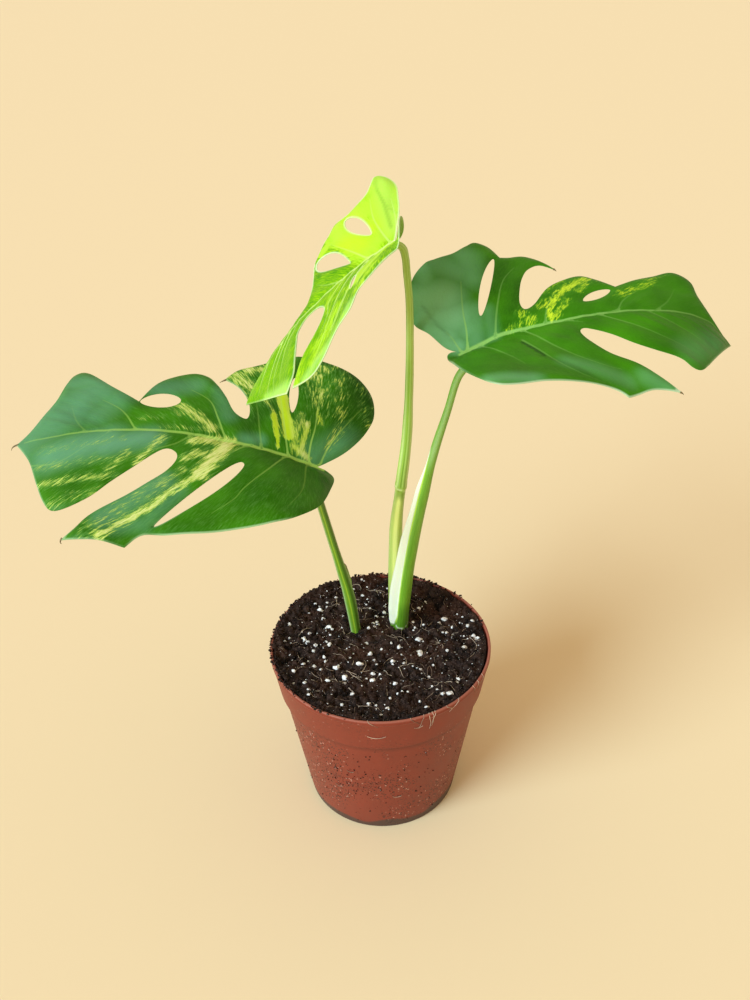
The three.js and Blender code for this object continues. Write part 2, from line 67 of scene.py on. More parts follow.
# Pot: a thin nursery pot moulded in one piece from terracotta-coloured polypropylene.
# A foot ring and a middle pad stand on the table, eight drain holes go through the floor,
# and a flared collar with a thin rolled lip stiffens the top.
POT_HEIGHT = 101.2
POT_RIM = 60
POT_COLLAR = (56.5, 78.9)
POT_BODY = (54.7, 76.9)
POT_FOOT = (42.4, 2)
POT_FOOT_WIDTH = 4
POT_FOOT_SLOPE = 1.2
POT_PAD = 11
POT_WALL = 1.3
POT_LIP = 2.4
POT_LIP_UNDERSIDE = 0.9
POT_LIP_PROUD = 0.45
POT_SEGMENTS = 160
POT_CREASE = 40
DRAIN_HOLES = 8
DRAIN_RADIUS = 3.5
DRAIN_CIRCLE = 30
DRAIN_REACH = (-5, 6)
DRAIN_SEGMENTS = 32
# How a Mix node is set that blends two colours, and which of its outputs gives the colour.
BLEND = {"data_type": "RGBA", "out": 2}


def linear(code):
    """An sRGB colour such as #a8523a as the linear red, green, blue and alpha that shaders take."""
    parts = [int(code[i : i + 2], 16) / 255 for i in (1, 3, 5)]
    return (*(p / 12.92 if p <= 0.04045 else ((p + 0.055) / 1.055) ** 2.4 for p in parts), 1.0)


def new_material(name):
    """A material, its node tree and its principled shader."""
    material = bpy.data.materials.new(name)
    material.use_nodes = True
    return material, material.node_tree, material.node_tree.nodes["Principled BSDF"]


def feed(node, inputs):
    """Gives sockets their values: a number, a vector, a colour's code, or the output that feeds them."""
    for socket, value in inputs.items():
        if isinstance(value, bpy.types.NodeSocket):
            node.id_data.links.new(value, node.inputs[socket])
        else:
            node.inputs[socket].default_value = linear(value) if isinstance(value, str) else value


def add(tree, kind, inputs, out=0, **settings):
    """Adds a node with its settings and its inputs' values and links, and gives back one of its outputs."""
    made = tree.nodes.new("ShaderNode" + kind)
    for name, value in settings.items():
        setattr(made, name, value)
    feed(made, inputs)
    return made.outputs[out]


def new_piece(name, vertices, faces, material, crease=50):
    """A mesh object from points in millimetres, smooth but for edges sharper than crease degrees."""
    mesh = bpy.data.meshes.new(name)
    mesh.from_pydata([Vector(v) * MM for v in vertices], [], faces)
    mesh.materials.append(material)
    mesh.shade_smooth()
    mesh.set_sharp_from_angle(angle=math.radians(crease))
    made = bpy.data.objects.new(name, mesh)
    bpy.context.scene.collection.objects.link(made)
    return made


def rounded(corners):
    """A profile from (radius, height, round) corners, each round one turned into an arc of points."""
    points = []
    for i, (x, z, r) in enumerate(corners):
        if not r:
            points.append((x, z))
            continue
        here = Vector((x, z))
        before = (Vector(corners[i - 1][:2]) - here).normalized()
        after = (Vector(corners[i + 1][:2]) - here).normalized()
        half = before.angle(after) / 2
        reach = r / math.tan(half)
        middle = here + (before + after).normalized() * (r / math.sin(half))
        start = here + before * reach - middle
        end = here + after * reach - middle
        points += [tuple(middle + start.slerp(end, k / 4) * r) for k in range(5)]
    return points


def polar(radius, turn):
    """The x and y of a place that far from the pot's axis, at an angle in radians."""
    return radius * math.cos(turn), radius * math.sin(turn)


def between_rows(first, rows, sides):
    """Faces between rows of points that each go once round a form, from the first point's number on."""
    faces = []
    for row in range(1, rows):
        for j in range(sides):
            here = first + row * sides + j
            beside = first + row * sides + (j + 1) % sides
            faces.append((here - sides, beside - sides, beside, here))
    return faces


def lathe(profile, segments):
    """Points and faces of the solid that a profile from axis to axis sweeps out."""
    vertices = [(0, 0, profile[0][1]), (0, 0, profile[-1][1])]
    rings = profile[1:-1]
    for radius, height in rings:
        vertices += [(*polar(radius, 2 * math.pi * j / segments), height) for j in range(segments)]
    faces = between_rows(2, len(rings), segments)
    last = 2 + (len(rings) - 1) * segments
    for j in range(segments):
        beside = (j + 1) % segments
        faces.append((0, 2 + beside, 2 + j))
        faces.append((1, last + j, last + beside))
    return vertices, faces


def gather(bodies):
    """One list of points and one of faces from many small bodies."""
    vertices = []
    faces = []
    for points, corners in bodies:
        start = len(vertices)
        vertices += points
        faces += [tuple(start + i for i in face) for face in corners]
    return vertices, faces


def cut_by(whole, cutter):
    """Cuts one mesh object out of another and keeps the result as the first one's mesh."""
    cut = whole.modifiers.new("cut", "BOOLEAN")
    cut.operation = "DIFFERENCE"
    cut.solver = "EXACT"
    cut.object = cutter
    bpy.context.view_layer.update()
    result = bpy.data.meshes.new_from_object(whole.evaluated_get(bpy.context.evaluated_depsgraph_get()))
    whole.modifiers.remove(cut)
    whole.data = result
    bpy.data.objects.remove(cutter)


outer_foot, foot_height = POT_FOOT
inner_rim = POT_RIM - POT_WALL
pot_profile = rounded([
    (0, 0, 0),
    (POT_PAD, 0, 0.4),
    (POT_PAD + POT_FOOT_SLOPE, foot_height, 0.4),
    (outer_foot - POT_FOOT_WIDTH - POT_FOOT_SLOPE, foot_height, 0.4),
    (outer_foot - POT_FOOT_WIDTH, 0, 0.4),
    (outer_foot, 0, 0.8),
    (*POT_BODY, 0.9),
    (*POT_COLLAR, 0.5),
    (POT_RIM - POT_LIP_PROUD, POT_HEIGHT - POT_LIP - POT_LIP_UNDERSIDE, 0.3),
    (POT_RIM, POT_HEIGHT - POT_LIP, 0.9),
    (POT_RIM, POT_HEIGHT, 0.55),
    (inner_rim, POT_HEIGHT, 0.55),
    (POT_COLLAR[0] - POT_WALL, POT_COLLAR[1] + POT_WALL, 0.8),
    (POT_BODY[0] - POT_WALL, POT_BODY[1] + POT_WALL, 0.5),
    (outer_foot - POT_WALL, foot_height + POT_WALL, 0.8),
    (0, foot_height + POT_WALL, 0),
])

# Injection-moulded polypropylene: an even satin red-brown, faintly mottled, with splashes of soil,
# painted shade in a band under the collar's step, a painted highlight along the lip, and a dirty line
# where the foot meets the table.
# Splashes of 0.2 to 0.5 mm are drawn on a 1.4 mm spacing, and the mould's grain of 0.1 mm at 0.9 mm,
# because finer ones don't show.
terracotta, tree, shader = new_material("moulded_polypropylene")
place = add(tree, "TexCoord", {}, "Object")
height = add(tree, "SeparateXYZ", {0: place}, "Z")
mottle = add(tree, "TexNoise", {"Vector": place, "Scale": 1 / (9 * MM), "Detail": 4, "Roughness": 0.6})
plastic = add(tree, "Mix", {0: mottle, 6: "#762d1d", 7: "#8d3926"}, **BLEND)
speck = add(tree, "TexVoronoi", {"Vector": place, "Scale": 1 / (1.4 * MM)})
patches = add(tree, "TexNoise", {"Vector": place, "Scale": 1 / (26 * MM), "Detail": 3})
crumb = add(tree, "MapRange", {0: speck, 1: 0.25, 2: 0.36, 3: 1, 4: 0})
where = add(tree, "MapRange", {0: patches, 1: 0.43, 2: 0.56})
reached = add(tree, "MapRange", {0: height, 1: 68 * MM, 2: 84 * MM, 3: 1, 4: 0.25})
landed = add(tree, "Math", {0: where, 1: reached}, operation="MULTIPLY")
splash = add(tree, "Math", {0: crumb, 1: landed}, operation="MULTIPLY")
lit = add(tree, "Math", {0: speck.node.outputs["Color"], 1: 0.78}, operation="GREATER_THAN")
soil_or_dust = add(tree, "Mix", {0: lit, 6: "#35201a", 7: "#c99a86"}, **BLEND)
spotted = add(tree, "Mix", {0: splash, 6: plastic, 7: soil_or_dust}, **BLEND)
# Painted shade: a dark band on the wall just under the collar's step, where the collar shades it.
off = add(tree, "Math", {0: height, 1: (POT_BODY[1] - 0.4) * MM}, operation="SUBTRACT")
off_step = add(tree, "Math", {0: off}, operation="ABSOLUTE")
step_shade = add(tree, "MapRange", {0: off_step, 1: 0.5 * MM, 2: 3.4 * MM, 3: 0.34, 4: 0})
step_shaded = add(tree, "Mix", {0: step_shade, 6: spotted, 7: "#4a2015"}, **BLEND)
wobble = add(tree, "Math", {0: patches, 1: -13 * MM, 2: height}, operation="MULTIPLY_ADD")
grime = add(tree, "MapRange", {0: wobble, 1: -1.6 * MM, 2: 0.2 * MM, 3: 0.85, 4: 0})
dirty = add(tree, "Mix", {0: grime, 6: step_shaded, 7: "#40352e"}, **BLEND)
# Painted highlight: the top millimetre of the lip is paler, where its rounded edge catches the light.
lip_highlight = add(tree, "MapRange", {0: height, 1: (POT_HEIGHT - 1.1) * MM, 2: POT_HEIGHT * MM, 3: 0, 4: 0.5})
lip_highlighted = add(tree, "Mix", {0: lip_highlight, 6: dirty, 7: "#c27a64"}, **BLEND)
grain = add(tree, "TexNoise", {"Vector": place, "Scale": 1 / (0.9 * MM), "Detail": 2})
rough = add(tree, "MapRange", {0: mottle, 3: 0.42, 4: 0.58})
relief = add(tree, "Math", {0: grain, 1: 0.15, 2: splash}, operation="MULTIPLY_ADD")
bump = add(tree, "Bump", {"Height": relief, "Distance": 0.12 * MM, "Strength": 0.6})
feed(shader, {"Base Color": lip_highlighted, "Roughness": rough, "Normal": bump})
feed(shader, {"IOR": 1.49, "Specular IOR Level": 0.32})

pot = new_piece("pot_shell", *lathe(pot_profile, POT_SEGMENTS), terracotta, crease=POT_CREASE)
lowest, highest = DRAIN_REACH
drill = [(0, lowest), (DRAIN_RADIUS, lowest), (DRAIN_RADIUS, highest), (0, highest)]
drains = []
for hole in range(DRAIN_HOLES):
    vertices, faces = lathe(drill, DRAIN_SEGMENTS)
    shift = Vector((*polar(DRAIN_CIRCLE, 2 * math.pi * (hole + 0.5) / DRAIN_HOLES), 0))
    drains.append(([Vector(v) + shift for v in vertices], faces))
cut_by(pot, new_piece("drains", *gather(drains), terracotta))
pot.data.shade_smooth()
pot.data.set_sharp_from_angle(angle=math.radians(POT_CREASE))
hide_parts("pot")
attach(pot, "root")

# Soil: moist peat potting mix, nearly black, crumbly and full of short fibres. It fills the pot to
# a few millimetres under the lip, mounds a little in the middle, and closes round each stalk.
SOIL_EDGE = 98.6
SOIL_MOUND = 1.6
SOIL_LUMP = 0.7
SOIL_INSET = 0.55
SOIL_GAP = 0.3
SOIL_HEAP_FROM = 46
SOIL_STEP = 0.75
SOIL_SIDES = 480
CLOD_WIDTH = 4.4
PIT_WIDTH = 2.6
CLOD_HEIGHT = 1.9

soil_radius = inner_rim - 2 * SOIL_INSET


def soil_height(x, y):
    """The soil's top without its clods and crumbs, in millimetres: the waves that the solid soil has."""
    lumps = math.sin(x / 5.1 + 1) * math.cos(y / 6.3) + 0.7 * math.sin(x / 2.9 - y / 3.7)
    behind = 1.6 * math.exp(-(((x + 34) / 26) ** 2) - ((y - 42) / 18) ** 2)
    dome = SOIL_MOUND * (1 - (math.hypot(x, y) / POT_RIM) ** 2)
    return SOIL_EDGE + dome + SOIL_LUMP * lumps + behind


def soil_top(x, y):
    """The soil's top with its clods, heaped up to the lip, and a little over it at the back left."""
    radius = math.hypot(x, y)
    clods = noise.fractal(Vector((x / CLOD_WIDTH, y / CLOD_WIDTH, 3.1)), 0.75, 2.1, 6)
    pits = noise.voronoi(Vector((x / PIT_WIDTH, y / PIT_WIDTH, 8.7)))[0][0]
    behind = max(0, math.cos(math.atan2(y, x) - math.radians(140)))
    outward = max(0, (radius - SOIL_HEAP_FROM) / (soil_radius - SOIL_HEAP_FROM))
    heaped = outward**2 * (2 + 1.2 * behind)
    calm = min(1, max(0.35, (soil_radius - radius) / 2))
    return soil_height(x, y) + heaped + (CLOD_HEIGHT * clods + CLOD_HEIGHT * (0.42 - pits)) * calm


# Moist peat: matt and nearly black, mottled with browner peat, with paler threads and a white dust
# of perlite. The dust, finer than 0.2 mm in truth, is drawn on a 1.5 mm spacing so that it shows.
peat, tree, shader = new_material("moist_peat")
place = add(tree, "TexCoord", {}, "Object")
coarse = add(tree, "TexNoise", {"Vector": place, "Scale": 1 / (5 * MM), "Detail": 6, "Roughness": 0.7})
fine = add(tree, "TexNoise", {"Vector": place, "Scale": 1 / (0.8 * MM), "Detail": 3, "Roughness": 0.7})
tone = add(tree, "MapRange", {0: coarse, 1: 0.38, 2: 0.68})
dark = add(tree, "Mix", {0: tone, 6: "#0c0705", 7: "#45322a"}, **BLEND)
stretch = add(tree, "TexNoise", {"Vector": place, "Scale": 1 / (17 * MM), "Detail": 3})
browner = add(tree, "MapRange", {0: stretch, 1: 0.5, 2: 0.66, 3: 0, 4: 0.5})
warm = add(tree, "Mix", {0: browner, 6: dark, 7: "#4c2d1d"}, **BLEND)
spark = add(tree, "MapRange", {0: fine, 1: 0.6, 2: 0.7})
sparked = add(tree, "Mix", {0: spark, 6: warm, 7: "#7c6454"}, **BLEND)
dust = add(tree, "TexVoronoi", {"Vector": place, "Scale": 1 / (1.5 * MM)})
white = add(tree, "MapRange", {0: dust, 1: 0.1, 2: 0.16, 3: 0.8, 4: 0})
sparse = add(tree, "Math", {0: dust.node.outputs["Color"], 1: 0.62}, operation="GREATER_THAN")
dusted = add(tree, "Math", {0: white, 1: sparse}, operation="MULTIPLY")
earth = add(tree, "Mix", {0: dusted, 6: sparked, 7: "#d8cdbf"}, **BLEND)
bump = add(tree, "Bump", {"Height": fine, "Distance": 0.5 * MM, "Strength": 0.9})
feed(shader, {"Base Color": earth, "Normal": bump, "Roughness": 0.85, "Specular IOR Level": 0.15})

rings = int(soil_radius / SOIL_STEP)
vertices = [(0, 0, soil_height(0, 0))]
for ring in range(1, rings + 1):
    radius = soil_radius * ring / rings
    count = max(8, round(2 * math.pi * radius / SOIL_STEP / 8) * 8) if ring < rings else SOIL_SIDES
    first = len(vertices)
    for j in range(count):
        x, y = polar(radius, 2 * math.pi * (j + 0.5 * (ring % 2)) / count)
        vertices.append((x, y, soil_top(x, y)))
rim = list(range(first, first + SOIL_SIDES))
rim_edges = list(zip(rim, rim[1:] + rim[:1]))
joined = geometry.delaunay_2d_cdt([Vector(v[:2]) for v in vertices], rim_edges, [], 0, 1e-5)
faces = [tuple(face) for face in joined[2]]
for radius, height in (POT_COLLAR, POT_BODY, POT_FOOT):
    lower = list(range(len(vertices), len(vertices) + SOIL_SIDES))
    for j in range(SOIL_SIDES):
        turn = 2 * math.pi * (j + 0.5 * (rings % 2)) / SOIL_SIDES
        vertices.append((*polar(radius - POT_WALL - SOIL_INSET, turn), height + POT_WALL + SOIL_GAP))
        beside = (j + 1) % SOIL_SIDES
        faces.append((rim[j], lower[j], lower[beside], rim[beside]))
    rim = lower
faces.append(tuple(reversed(rim)))
soil = new_piece("peat_soil", vertices, faces, peat, crease=180)
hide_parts("soil")
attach(soil, "root")

# Crumbs: loose bits and clods of the same peat. They lie on the top, thickest against the lip where
# they were not pressed down, stick along the back of the lip, and cling to the pot's front in splashes.
CRUMB_SEED = 5
SMALL_CRUMBS = 5000
CLODS = 260
LIP_CRUMBS = 620
WALL_CRUMBS = 420
SPLASHED = 0.4


def ball(subdivisions):
    """Points and faces of a ball made of triangles."""
    form = bmesh.new()
    bmesh.ops.create_icosphere(form, subdivisions=subdivisions, radius=1)
    shape = ([v.co.copy() for v in form.verts], [tuple(v.index for v in f.verts) for f in form.faces])
    form.free()
    return shape


# The balls that grains are made from, by their number of facets.
BALLS = {20: ball(1), 80: ball(2)}


def lump(middle, size, facets, rough, draw):
    """Points and faces of one rough grain: a ball of 20 or 80 facets with its points pushed in and out."""
    vertices, faces = BALLS[facets]
    turned = Matrix.Rotation(draw.uniform(0, 6.3), 3, "X") @ Matrix.Rotation(draw.uniform(0, 6.3), 3, "Z")
    shape = Vector((1, draw.uniform(0.7, 1), draw.uniform(0.6, 1) * 0.8))
    points = []
    for v in vertices:
        pushed = size * (1 + rough * draw.uniform(-1, 1))
        points.append(Vector(middle) + turned @ (v * shape) * pushed)
    return points, faces


def scattered(draw, reach, power=0.5):
    """A random place on the soil within reach of its middle; a power under a half crowds the edge."""
    turn = draw.uniform(0, 2 * math.pi)
    return polar(reach * draw.random() ** power, turn)


# The one run of random numbers, which the crumbs, the perlite and the fibres draw from in turn.
draw = random.Random(CRUMB_SEED)
crumbs = []
# Small crumbs of 0.3 to 1.4 mm, most of them fine, and then the clods that lie half sunk among them.
for _ in range(SMALL_CRUMBS):
    x, y = scattered(draw, soil_radius - 0.6, 0.42)
    size = 0.3 + 1.1 * draw.random() ** 4
    crumbs.append(lump((x, y, soil_top(x, y) + 0.25 * size), size, 20, 0.4, draw))
for _ in range(CLODS):
    x, y = scattered(draw, soil_radius - 3)
    size = draw.uniform(1.1, 2.1)
    crumbs.append(lump((x, y, soil_top(x, y) - 0.1 * size), size, 80, 0.3, draw))
# Crumbs on and just inside the lip, most of them at the back left.
for _ in range(LIP_CRUMBS):
    turn = math.radians(draw.gauss(140, 52))
    radius = draw.uniform(soil_radius - 0.5, POT_RIM + 0.3)
    size = 0.35 + 0.75 * draw.random() ** 2
    height = POT_HEIGHT + 0.3 * size + draw.uniform(0, 0.7) * (POT_RIM - radius > 0.5)
    crumbs.append(lump((*polar(radius, turn), height), size, 20, 0.4, draw))
# Specks on the outside of the wall, part of them in one splash at the front.
for _ in range(WALL_CRUMBS):
    clump = draw.random() < SPLASHED
    turn = math.radians(draw.gauss(253, 13) if clump else draw.gauss(256, 48))
    height = draw.gauss(44, 8) if clump else 4 + 70 * draw.random() ** 1.3
    radius = outer_foot + (POT_BODY[0] - outer_foot) * height / POT_BODY[1]
    size = 0.18 + 0.45 * draw.random() ** 3
    crumbs.append(lump((*polar(radius, turn), height), size, 20, 0.4, draw))
loose = new_piece("peat_crumbs", *gather(crumbs), peat, crease=30)
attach(loose, "root")

# Perlite: puffed volcanic glass in the mix, chalk-white matt grains with rounded, pitted corners,
# half sunk in the peat. The larger ones stand where the solid soil has its grains.
PERLITE_COUNT = 34
PERLITE_SMALLEST = 1.1
PERLITE_LARGEST = 2.3
PERLITE_REACH = 53
PERLITE_SUNK = 0.45
PERLITE_CLEAR = 9
PERLITE_SEED = 11
FINE_PERLITE = 330
FINE_PERLITE_CLEAR = 6
STALK_FEET = ((-13.5, 11.5), (8.7, 24), (11.4, 13.9))


def seeded(seed):
    """The run of numbers that the solid soil's grains are placed by."""
    state = float(seed)
    while True:
        state = math.fmod(state * 1103515245.0 + 12345.0, 2147483648.0)
        yield state / 2147483648.0


def by_a_stalk(x, y, clear):
    """Whether a place lies nearer to a stalk's foot than it should."""
    return any(math.hypot(foot_x - x, foot_y - y) < clear for foot_x, foot_y in STALK_FEET)


# Puffed perlite: dull chalk-white, with a little light in it, pitted, and stained by the peat in places.
puffed, tree, shader = new_material("puffed_perlite")
place = add(tree, "TexCoord", {}, "Object")
pits = add(tree, "TexNoise", {"Vector": place, "Scale": 1 / (0.7 * MM), "Detail": 3, "Roughness": 0.7})
stain = add(tree, "TexNoise", {"Vector": place, "Scale": 1 / (2.5 * MM), "Detail": 3})
soiled = add(tree, "MapRange", {0: stain, 1: 0.52, 2: 0.7})
chalk = add(tree, "Mix", {0: soiled, 6: "#f6f1ea", 7: "#b9a795"}, **BLEND)
bump = add(tree, "Bump", {"Height": pits, "Distance": 0.3 * MM, "Strength": 0.8})
feed(shader, {"Base Color": chalk, "Normal": bump, "Roughness": 0.85, "Subsurface Weight": 0.15})
feed(shader, {"Subsurface Radius": (1 * MM, 1 * MM, 1 * MM)})

numbers = seeded(PERLITE_SEED)
grains = []
while len(grains) < PERLITE_COUNT:
    turn = 2 * math.pi * next(numbers)
    x, y = polar(PERLITE_REACH * math.sqrt(next(numbers)), turn)
    size = PERLITE_SMALLEST + (PERLITE_LARGEST - PERLITE_SMALLEST) * next(numbers) ** 2
    next(numbers)
    if by_a_stalk(x, y, PERLITE_CLEAR):
        continue
    height = soil_height(x, y) + size * (1 - 2 * PERLITE_SUNK)
    grains.append(lump((x, y, max(height, soil_top(x, y))), size, 80, 0.27, draw))
for _ in range(FINE_PERLITE):
    x, y = scattered(draw, soil_radius - 3)
    if by_a_stalk(x, y, FINE_PERLITE_CLEAR):
        continue
    size = 0.28 + draw.random() ** 2.5
    grains.append(lump((x, y, soil_top(x, y) + 0.3 * size), size, 80, 0.26, draw))
perlite = new_piece("perlite_grains", *gather(grains), puffed, crease=35)
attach(perlite, "root")

# Fibres: threads of coir and fine root, straw-brown to grey, that curl on the soil's top
# and over the lip. They are loose and held only by the crumbs on them.
FIBRE_COUNT = 120
FIBRE_RADIUS = 0.13
FIBRE_SIDES = 5
FIBRE_STEP = 0.9
WALL_FIBRE_RADIUS = 0.15
WALL_FIBRE_STEPS = 10
WALL_RADII = (outer_foot, POT_BODY[0], POT_COLLAR[0], 59.5, POT_RIM, POT_RIM)
WALL_HEIGHTS = (0, POT_BODY[1], POT_COLLAR[1], 98.3, 99.5, POT_HEIGHT)
# The angle of each fibre that hangs over the lip, in degrees, and how far it hangs down.
HANGING = [
    (283, 6), (291, 9), (293.5, 12), (295, 8), (297, 10), (303, 4), (322, 7), (327, 5), (333, 8), (312, 5),
    (262, 4),
]
# The angle and height of each fibre that is stuck to the wall, and how far it reaches to either side.
STUCK = [(267, 88, 4.2), (279, 30, 2.6), (288, 93, 2), (250, 52, 2), (240, 34, 2.4)]


def tube(points, radius_at, sides):
    """Points and faces of a closed tube along points; radius_at takes 0 at the start to 1 at the end."""
    vertices = []
    side = Vector((0.3, 0.1, 1))
    last = len(points) - 1
    for i, point in enumerate(points):
        heading = (points[min(i + 1, last)] - points[max(i - 1, 0)]).normalized()
        side = (side - heading * side.dot(heading)).normalized()
        across = heading.cross(side)
        for j in range(sides):
            turn = 2 * math.pi * j / sides
            vertices.append(point + (side * math.cos(turn) + across * math.sin(turn)) * radius_at(i / last))
    faces = between_rows(0, len(points), sides)
    faces.append(tuple(reversed(range(sides))))
    faces.append(tuple(range(last * sides, last * sides + sides)))
    return vertices, faces


# Coir: dull, dry threads whose straw-brown turns grey from one to the next.
coir, tree, shader = new_material("coir_fibre")
place = add(tree, "TexCoord", {}, "Object")
shade = add(tree, "TexNoise", {"Vector": place, "Scale": 1 / (14 * MM), "Detail": 1})
ripe = add(tree, "MapRange", {0: shade, 1: 0.4, 2: 0.6})
straw = add(tree, "Mix", {0: ripe, 6: "#7d6450", 7: "#d8bda0"}, **BLEND)
feed(shader, {"Base Color": straw, "Roughness": 0.7})

# First the fibres that wander over the soil, then those over the lip and those on the wall.
threads = []
for _ in range(FIBRE_COUNT):
    x, y = scattered(draw, soil_radius - 6)
    heading = draw.uniform(0, 2 * math.pi)
    bend = draw.gauss(0, 0.1)
    points = []
    for step in range(draw.randrange(8, 18)):
        if math.hypot(x, y) > soil_radius - 2:
            break
        ground = soil_top(x, y) + 0.2
        lying = max(ground, 0.7 * lying + 0.3 * ground) if points else ground
        points.append(Vector((x, y, lying)))
        heading += bend + draw.uniform(-0.1, 0.1)
        x += FIBRE_STEP * math.cos(heading)
        y += FIBRE_STEP * math.sin(heading)
    if len(points) > 4:
        threads.append(tube(points, lambda t: FIBRE_RADIUS * (1 - 0.5 * t), FIBRE_SIDES))
for angle, drop in HANGING:
    points = []
    turn = math.radians(angle)
    sway = draw.uniform(-0.012, 0.012)
    for step in range(WALL_FIBRE_STEPS):
        turn += sway + draw.uniform(-0.006, 0.006)
        height = POT_HEIGHT + 0.2 - drop * step / (WALL_FIBRE_STEPS - 1)
        radius = np.interp(height, WALL_HEIGHTS, WALL_RADII) + 0.25 if step else POT_RIM - 0.9
        points.append(Vector((*polar(radius, turn), height + 0.3 * (not step))))
    threads.append(tube(points, lambda t: WALL_FIBRE_RADIUS * (1 - 0.4 * t), FIBRE_SIDES))
for angle, height, reach in STUCK:
    points = []
    for step in range(WALL_FIBRE_STEPS + 1):
        share = step / (WALL_FIBRE_STEPS / 2) - 1
        curl = height + 0.35 * reach * share**2
        radius = np.interp(curl, WALL_HEIGHTS, WALL_RADII) + 0.2
        points.append(Vector((*polar(radius, math.radians(angle + reach * share * 1.1)), curl)))
    threads.append(tube(points, lambda t: WALL_FIBRE_RADIUS, FIBRE_SIDES))
fibres = new_piece("coir_fibres", *gather(threads), coir, crease=80)
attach(fibres, "root")

# Leaf stalks: three juicy green rods that come up out of the soil and each end in a small knee under
# a blade. Young leaves have grown out of the open sheaths of older ones, so a stalk keeps a thin wing
# or a pale open channel low down, and a raised ring where an older sheath has come away.
STALK_SIDES = 72
STALK_STEP = 1.1
STALK_RIDGES = 18
RIDGE_HEIGHT = 0.035
# How far before its end a stalk's knee is, how far the knee reaches and how much it swells, in girths;
# then how far the rounding of its end reaches, and how much is taken off there.
KNEE_BACK = 4
KNEE_REACH = 3
KNEE_SWELL = 0.12
END_REACH = 1.1
END_TAPER = 0.55


def eased(keys, position):
    """Eased values between (position, value) keys, for one position or an array of them."""
    stops = np.array([key[0] for key in keys], float)
    values = np.array([key[1] for key in keys], float)
    high = np.clip(np.searchsorted(stops, position), 1, len(stops) - 1)
    t = np.clip((position - stops[high - 1]) / (stops[high] - stops[high - 1]), 0, 1)
    return values[high - 1] + (values[high] - values[high - 1]) * t * t * (3 - 2 * t)


def strip(angle, middle, spread):
    """1 along a line down the stalk at the middle angle, fading to 0 over about twice the spread.
    Angles go round a stalk from 0, its right side, through 90, its back, to 270, its front."""
    away = (angle - middle + 180) % 360 - 180
    return np.exp(-((away / spread) ** 2))


def even_steps(walked, step, least=1):
    """Points at even distances of about a step along a line, with its ends, from the line's close points."""
    reached = np.concatenate([[0], np.cumsum(np.linalg.norm(np.diff(walked, axis=0), axis=1))])
    wanted = np.linspace(0, reached[-1], max(least, round(reached[-1] / step)) + 1)
    return np.stack([np.interp(wanted, reached, column) for column in walked.T], 1)


def bent_line(points, step):
    """Even steps, in millimetres, along the smooth line through a stalk's points."""
    points = np.array(points, float)
    points = np.vstack([2 * points[0] - points[1], points, 2 * points[-1] - points[-2]])
    gaps = np.sqrt(np.linalg.norm(np.diff(points, axis=0), axis=1))
    walked = []
    for i in range(1, len(points) - 2):
        p0, p1, p2, p3 = points[i - 1 : i + 3]
        before, here, after = gaps[i - 1 : i + 2]
        leave = ((p1 - p0) / before - (p2 - p0) / (before + here) + (p2 - p1) / here) * here
        arrive = ((p2 - p1) / here - (p3 - p1) / (here + after) + (p3 - p2) / after) * here
        cubic = 2 * p1 - 2 * p2 + leave + arrive
        square = 3 * p2 - 3 * p1 - 2 * leave - arrive
        walked += [p1 + t * (leave + t * (square + t * cubic)) for t in np.linspace(0, 1, 40, endpoint=False)]
    return even_steps(np.array([*walked, points[-2]]), step)


def mark_points(piece, mark, values):
    """Gives each point of a piece its value, or its row of three, under a mark's name for the material."""
    kind, field = ("FLOAT", "value") if values.ndim == 1 else ("FLOAT_VECTOR", "vector")
    piece.data.attributes.new(mark, kind, "POINT").data.foreach_set(field, values.ravel())


def stalk_piece(name, stalk, material):
    """A stalk's skin from its middle line, its girth at each height and its shape round the section."""
    line = bent_line(stalk["path"], STALK_STEP)
    headings = np.gradient(line, axis=0)
    headings /= np.linalg.norm(headings, axis=1)[:, None]
    angle = np.arange(STALK_SIDES) * 360 / STALK_SIDES
    turn = np.radians(angle)
    ridges = RIDGE_HEIGHT * np.cos(STALK_RIDGES * turn)
    side = np.array([1.0, 0, 0])
    rows = []
    for place, heading, to_go in zip(line, headings, np.linalg.norm(line - line[-1], axis=1)):
        side = side - heading * side.dot(heading)
        side /= np.linalg.norm(side)
        front = np.cross(heading, side)
        knee = KNEE_SWELL * math.exp(-(((to_go - KNEE_BACK) / KNEE_REACH) ** 2))
        swell = 1 + knee - END_TAPER * math.exp(-((to_go / END_REACH) ** 2))
        radius = eased(stalk["girth"], place[2]) * swell * stalk["shape"](angle, place[2]) + ridges
        rows.append(place + np.outer(radius * np.cos(turn), side) + np.outer(radius * np.sin(turn), front))
    vertices = np.concatenate(rows)
    faces = between_rows(0, len(line), STALK_SIDES)
    faces.append(tuple(reversed(range(STALK_SIDES))))
    faces.append(tuple(range(len(vertices) - STALK_SIDES, len(vertices))))
    made = new_piece(name, vertices, faces, material, crease=60)
    height = np.repeat(line[:, 2], STALK_SIDES)
    around = np.tile(angle, len(line))
    for mark, strength in stalk["marks"].items():
        mark_points(made, mark, np.clip(strength(around, height), 0, 1))
    return made


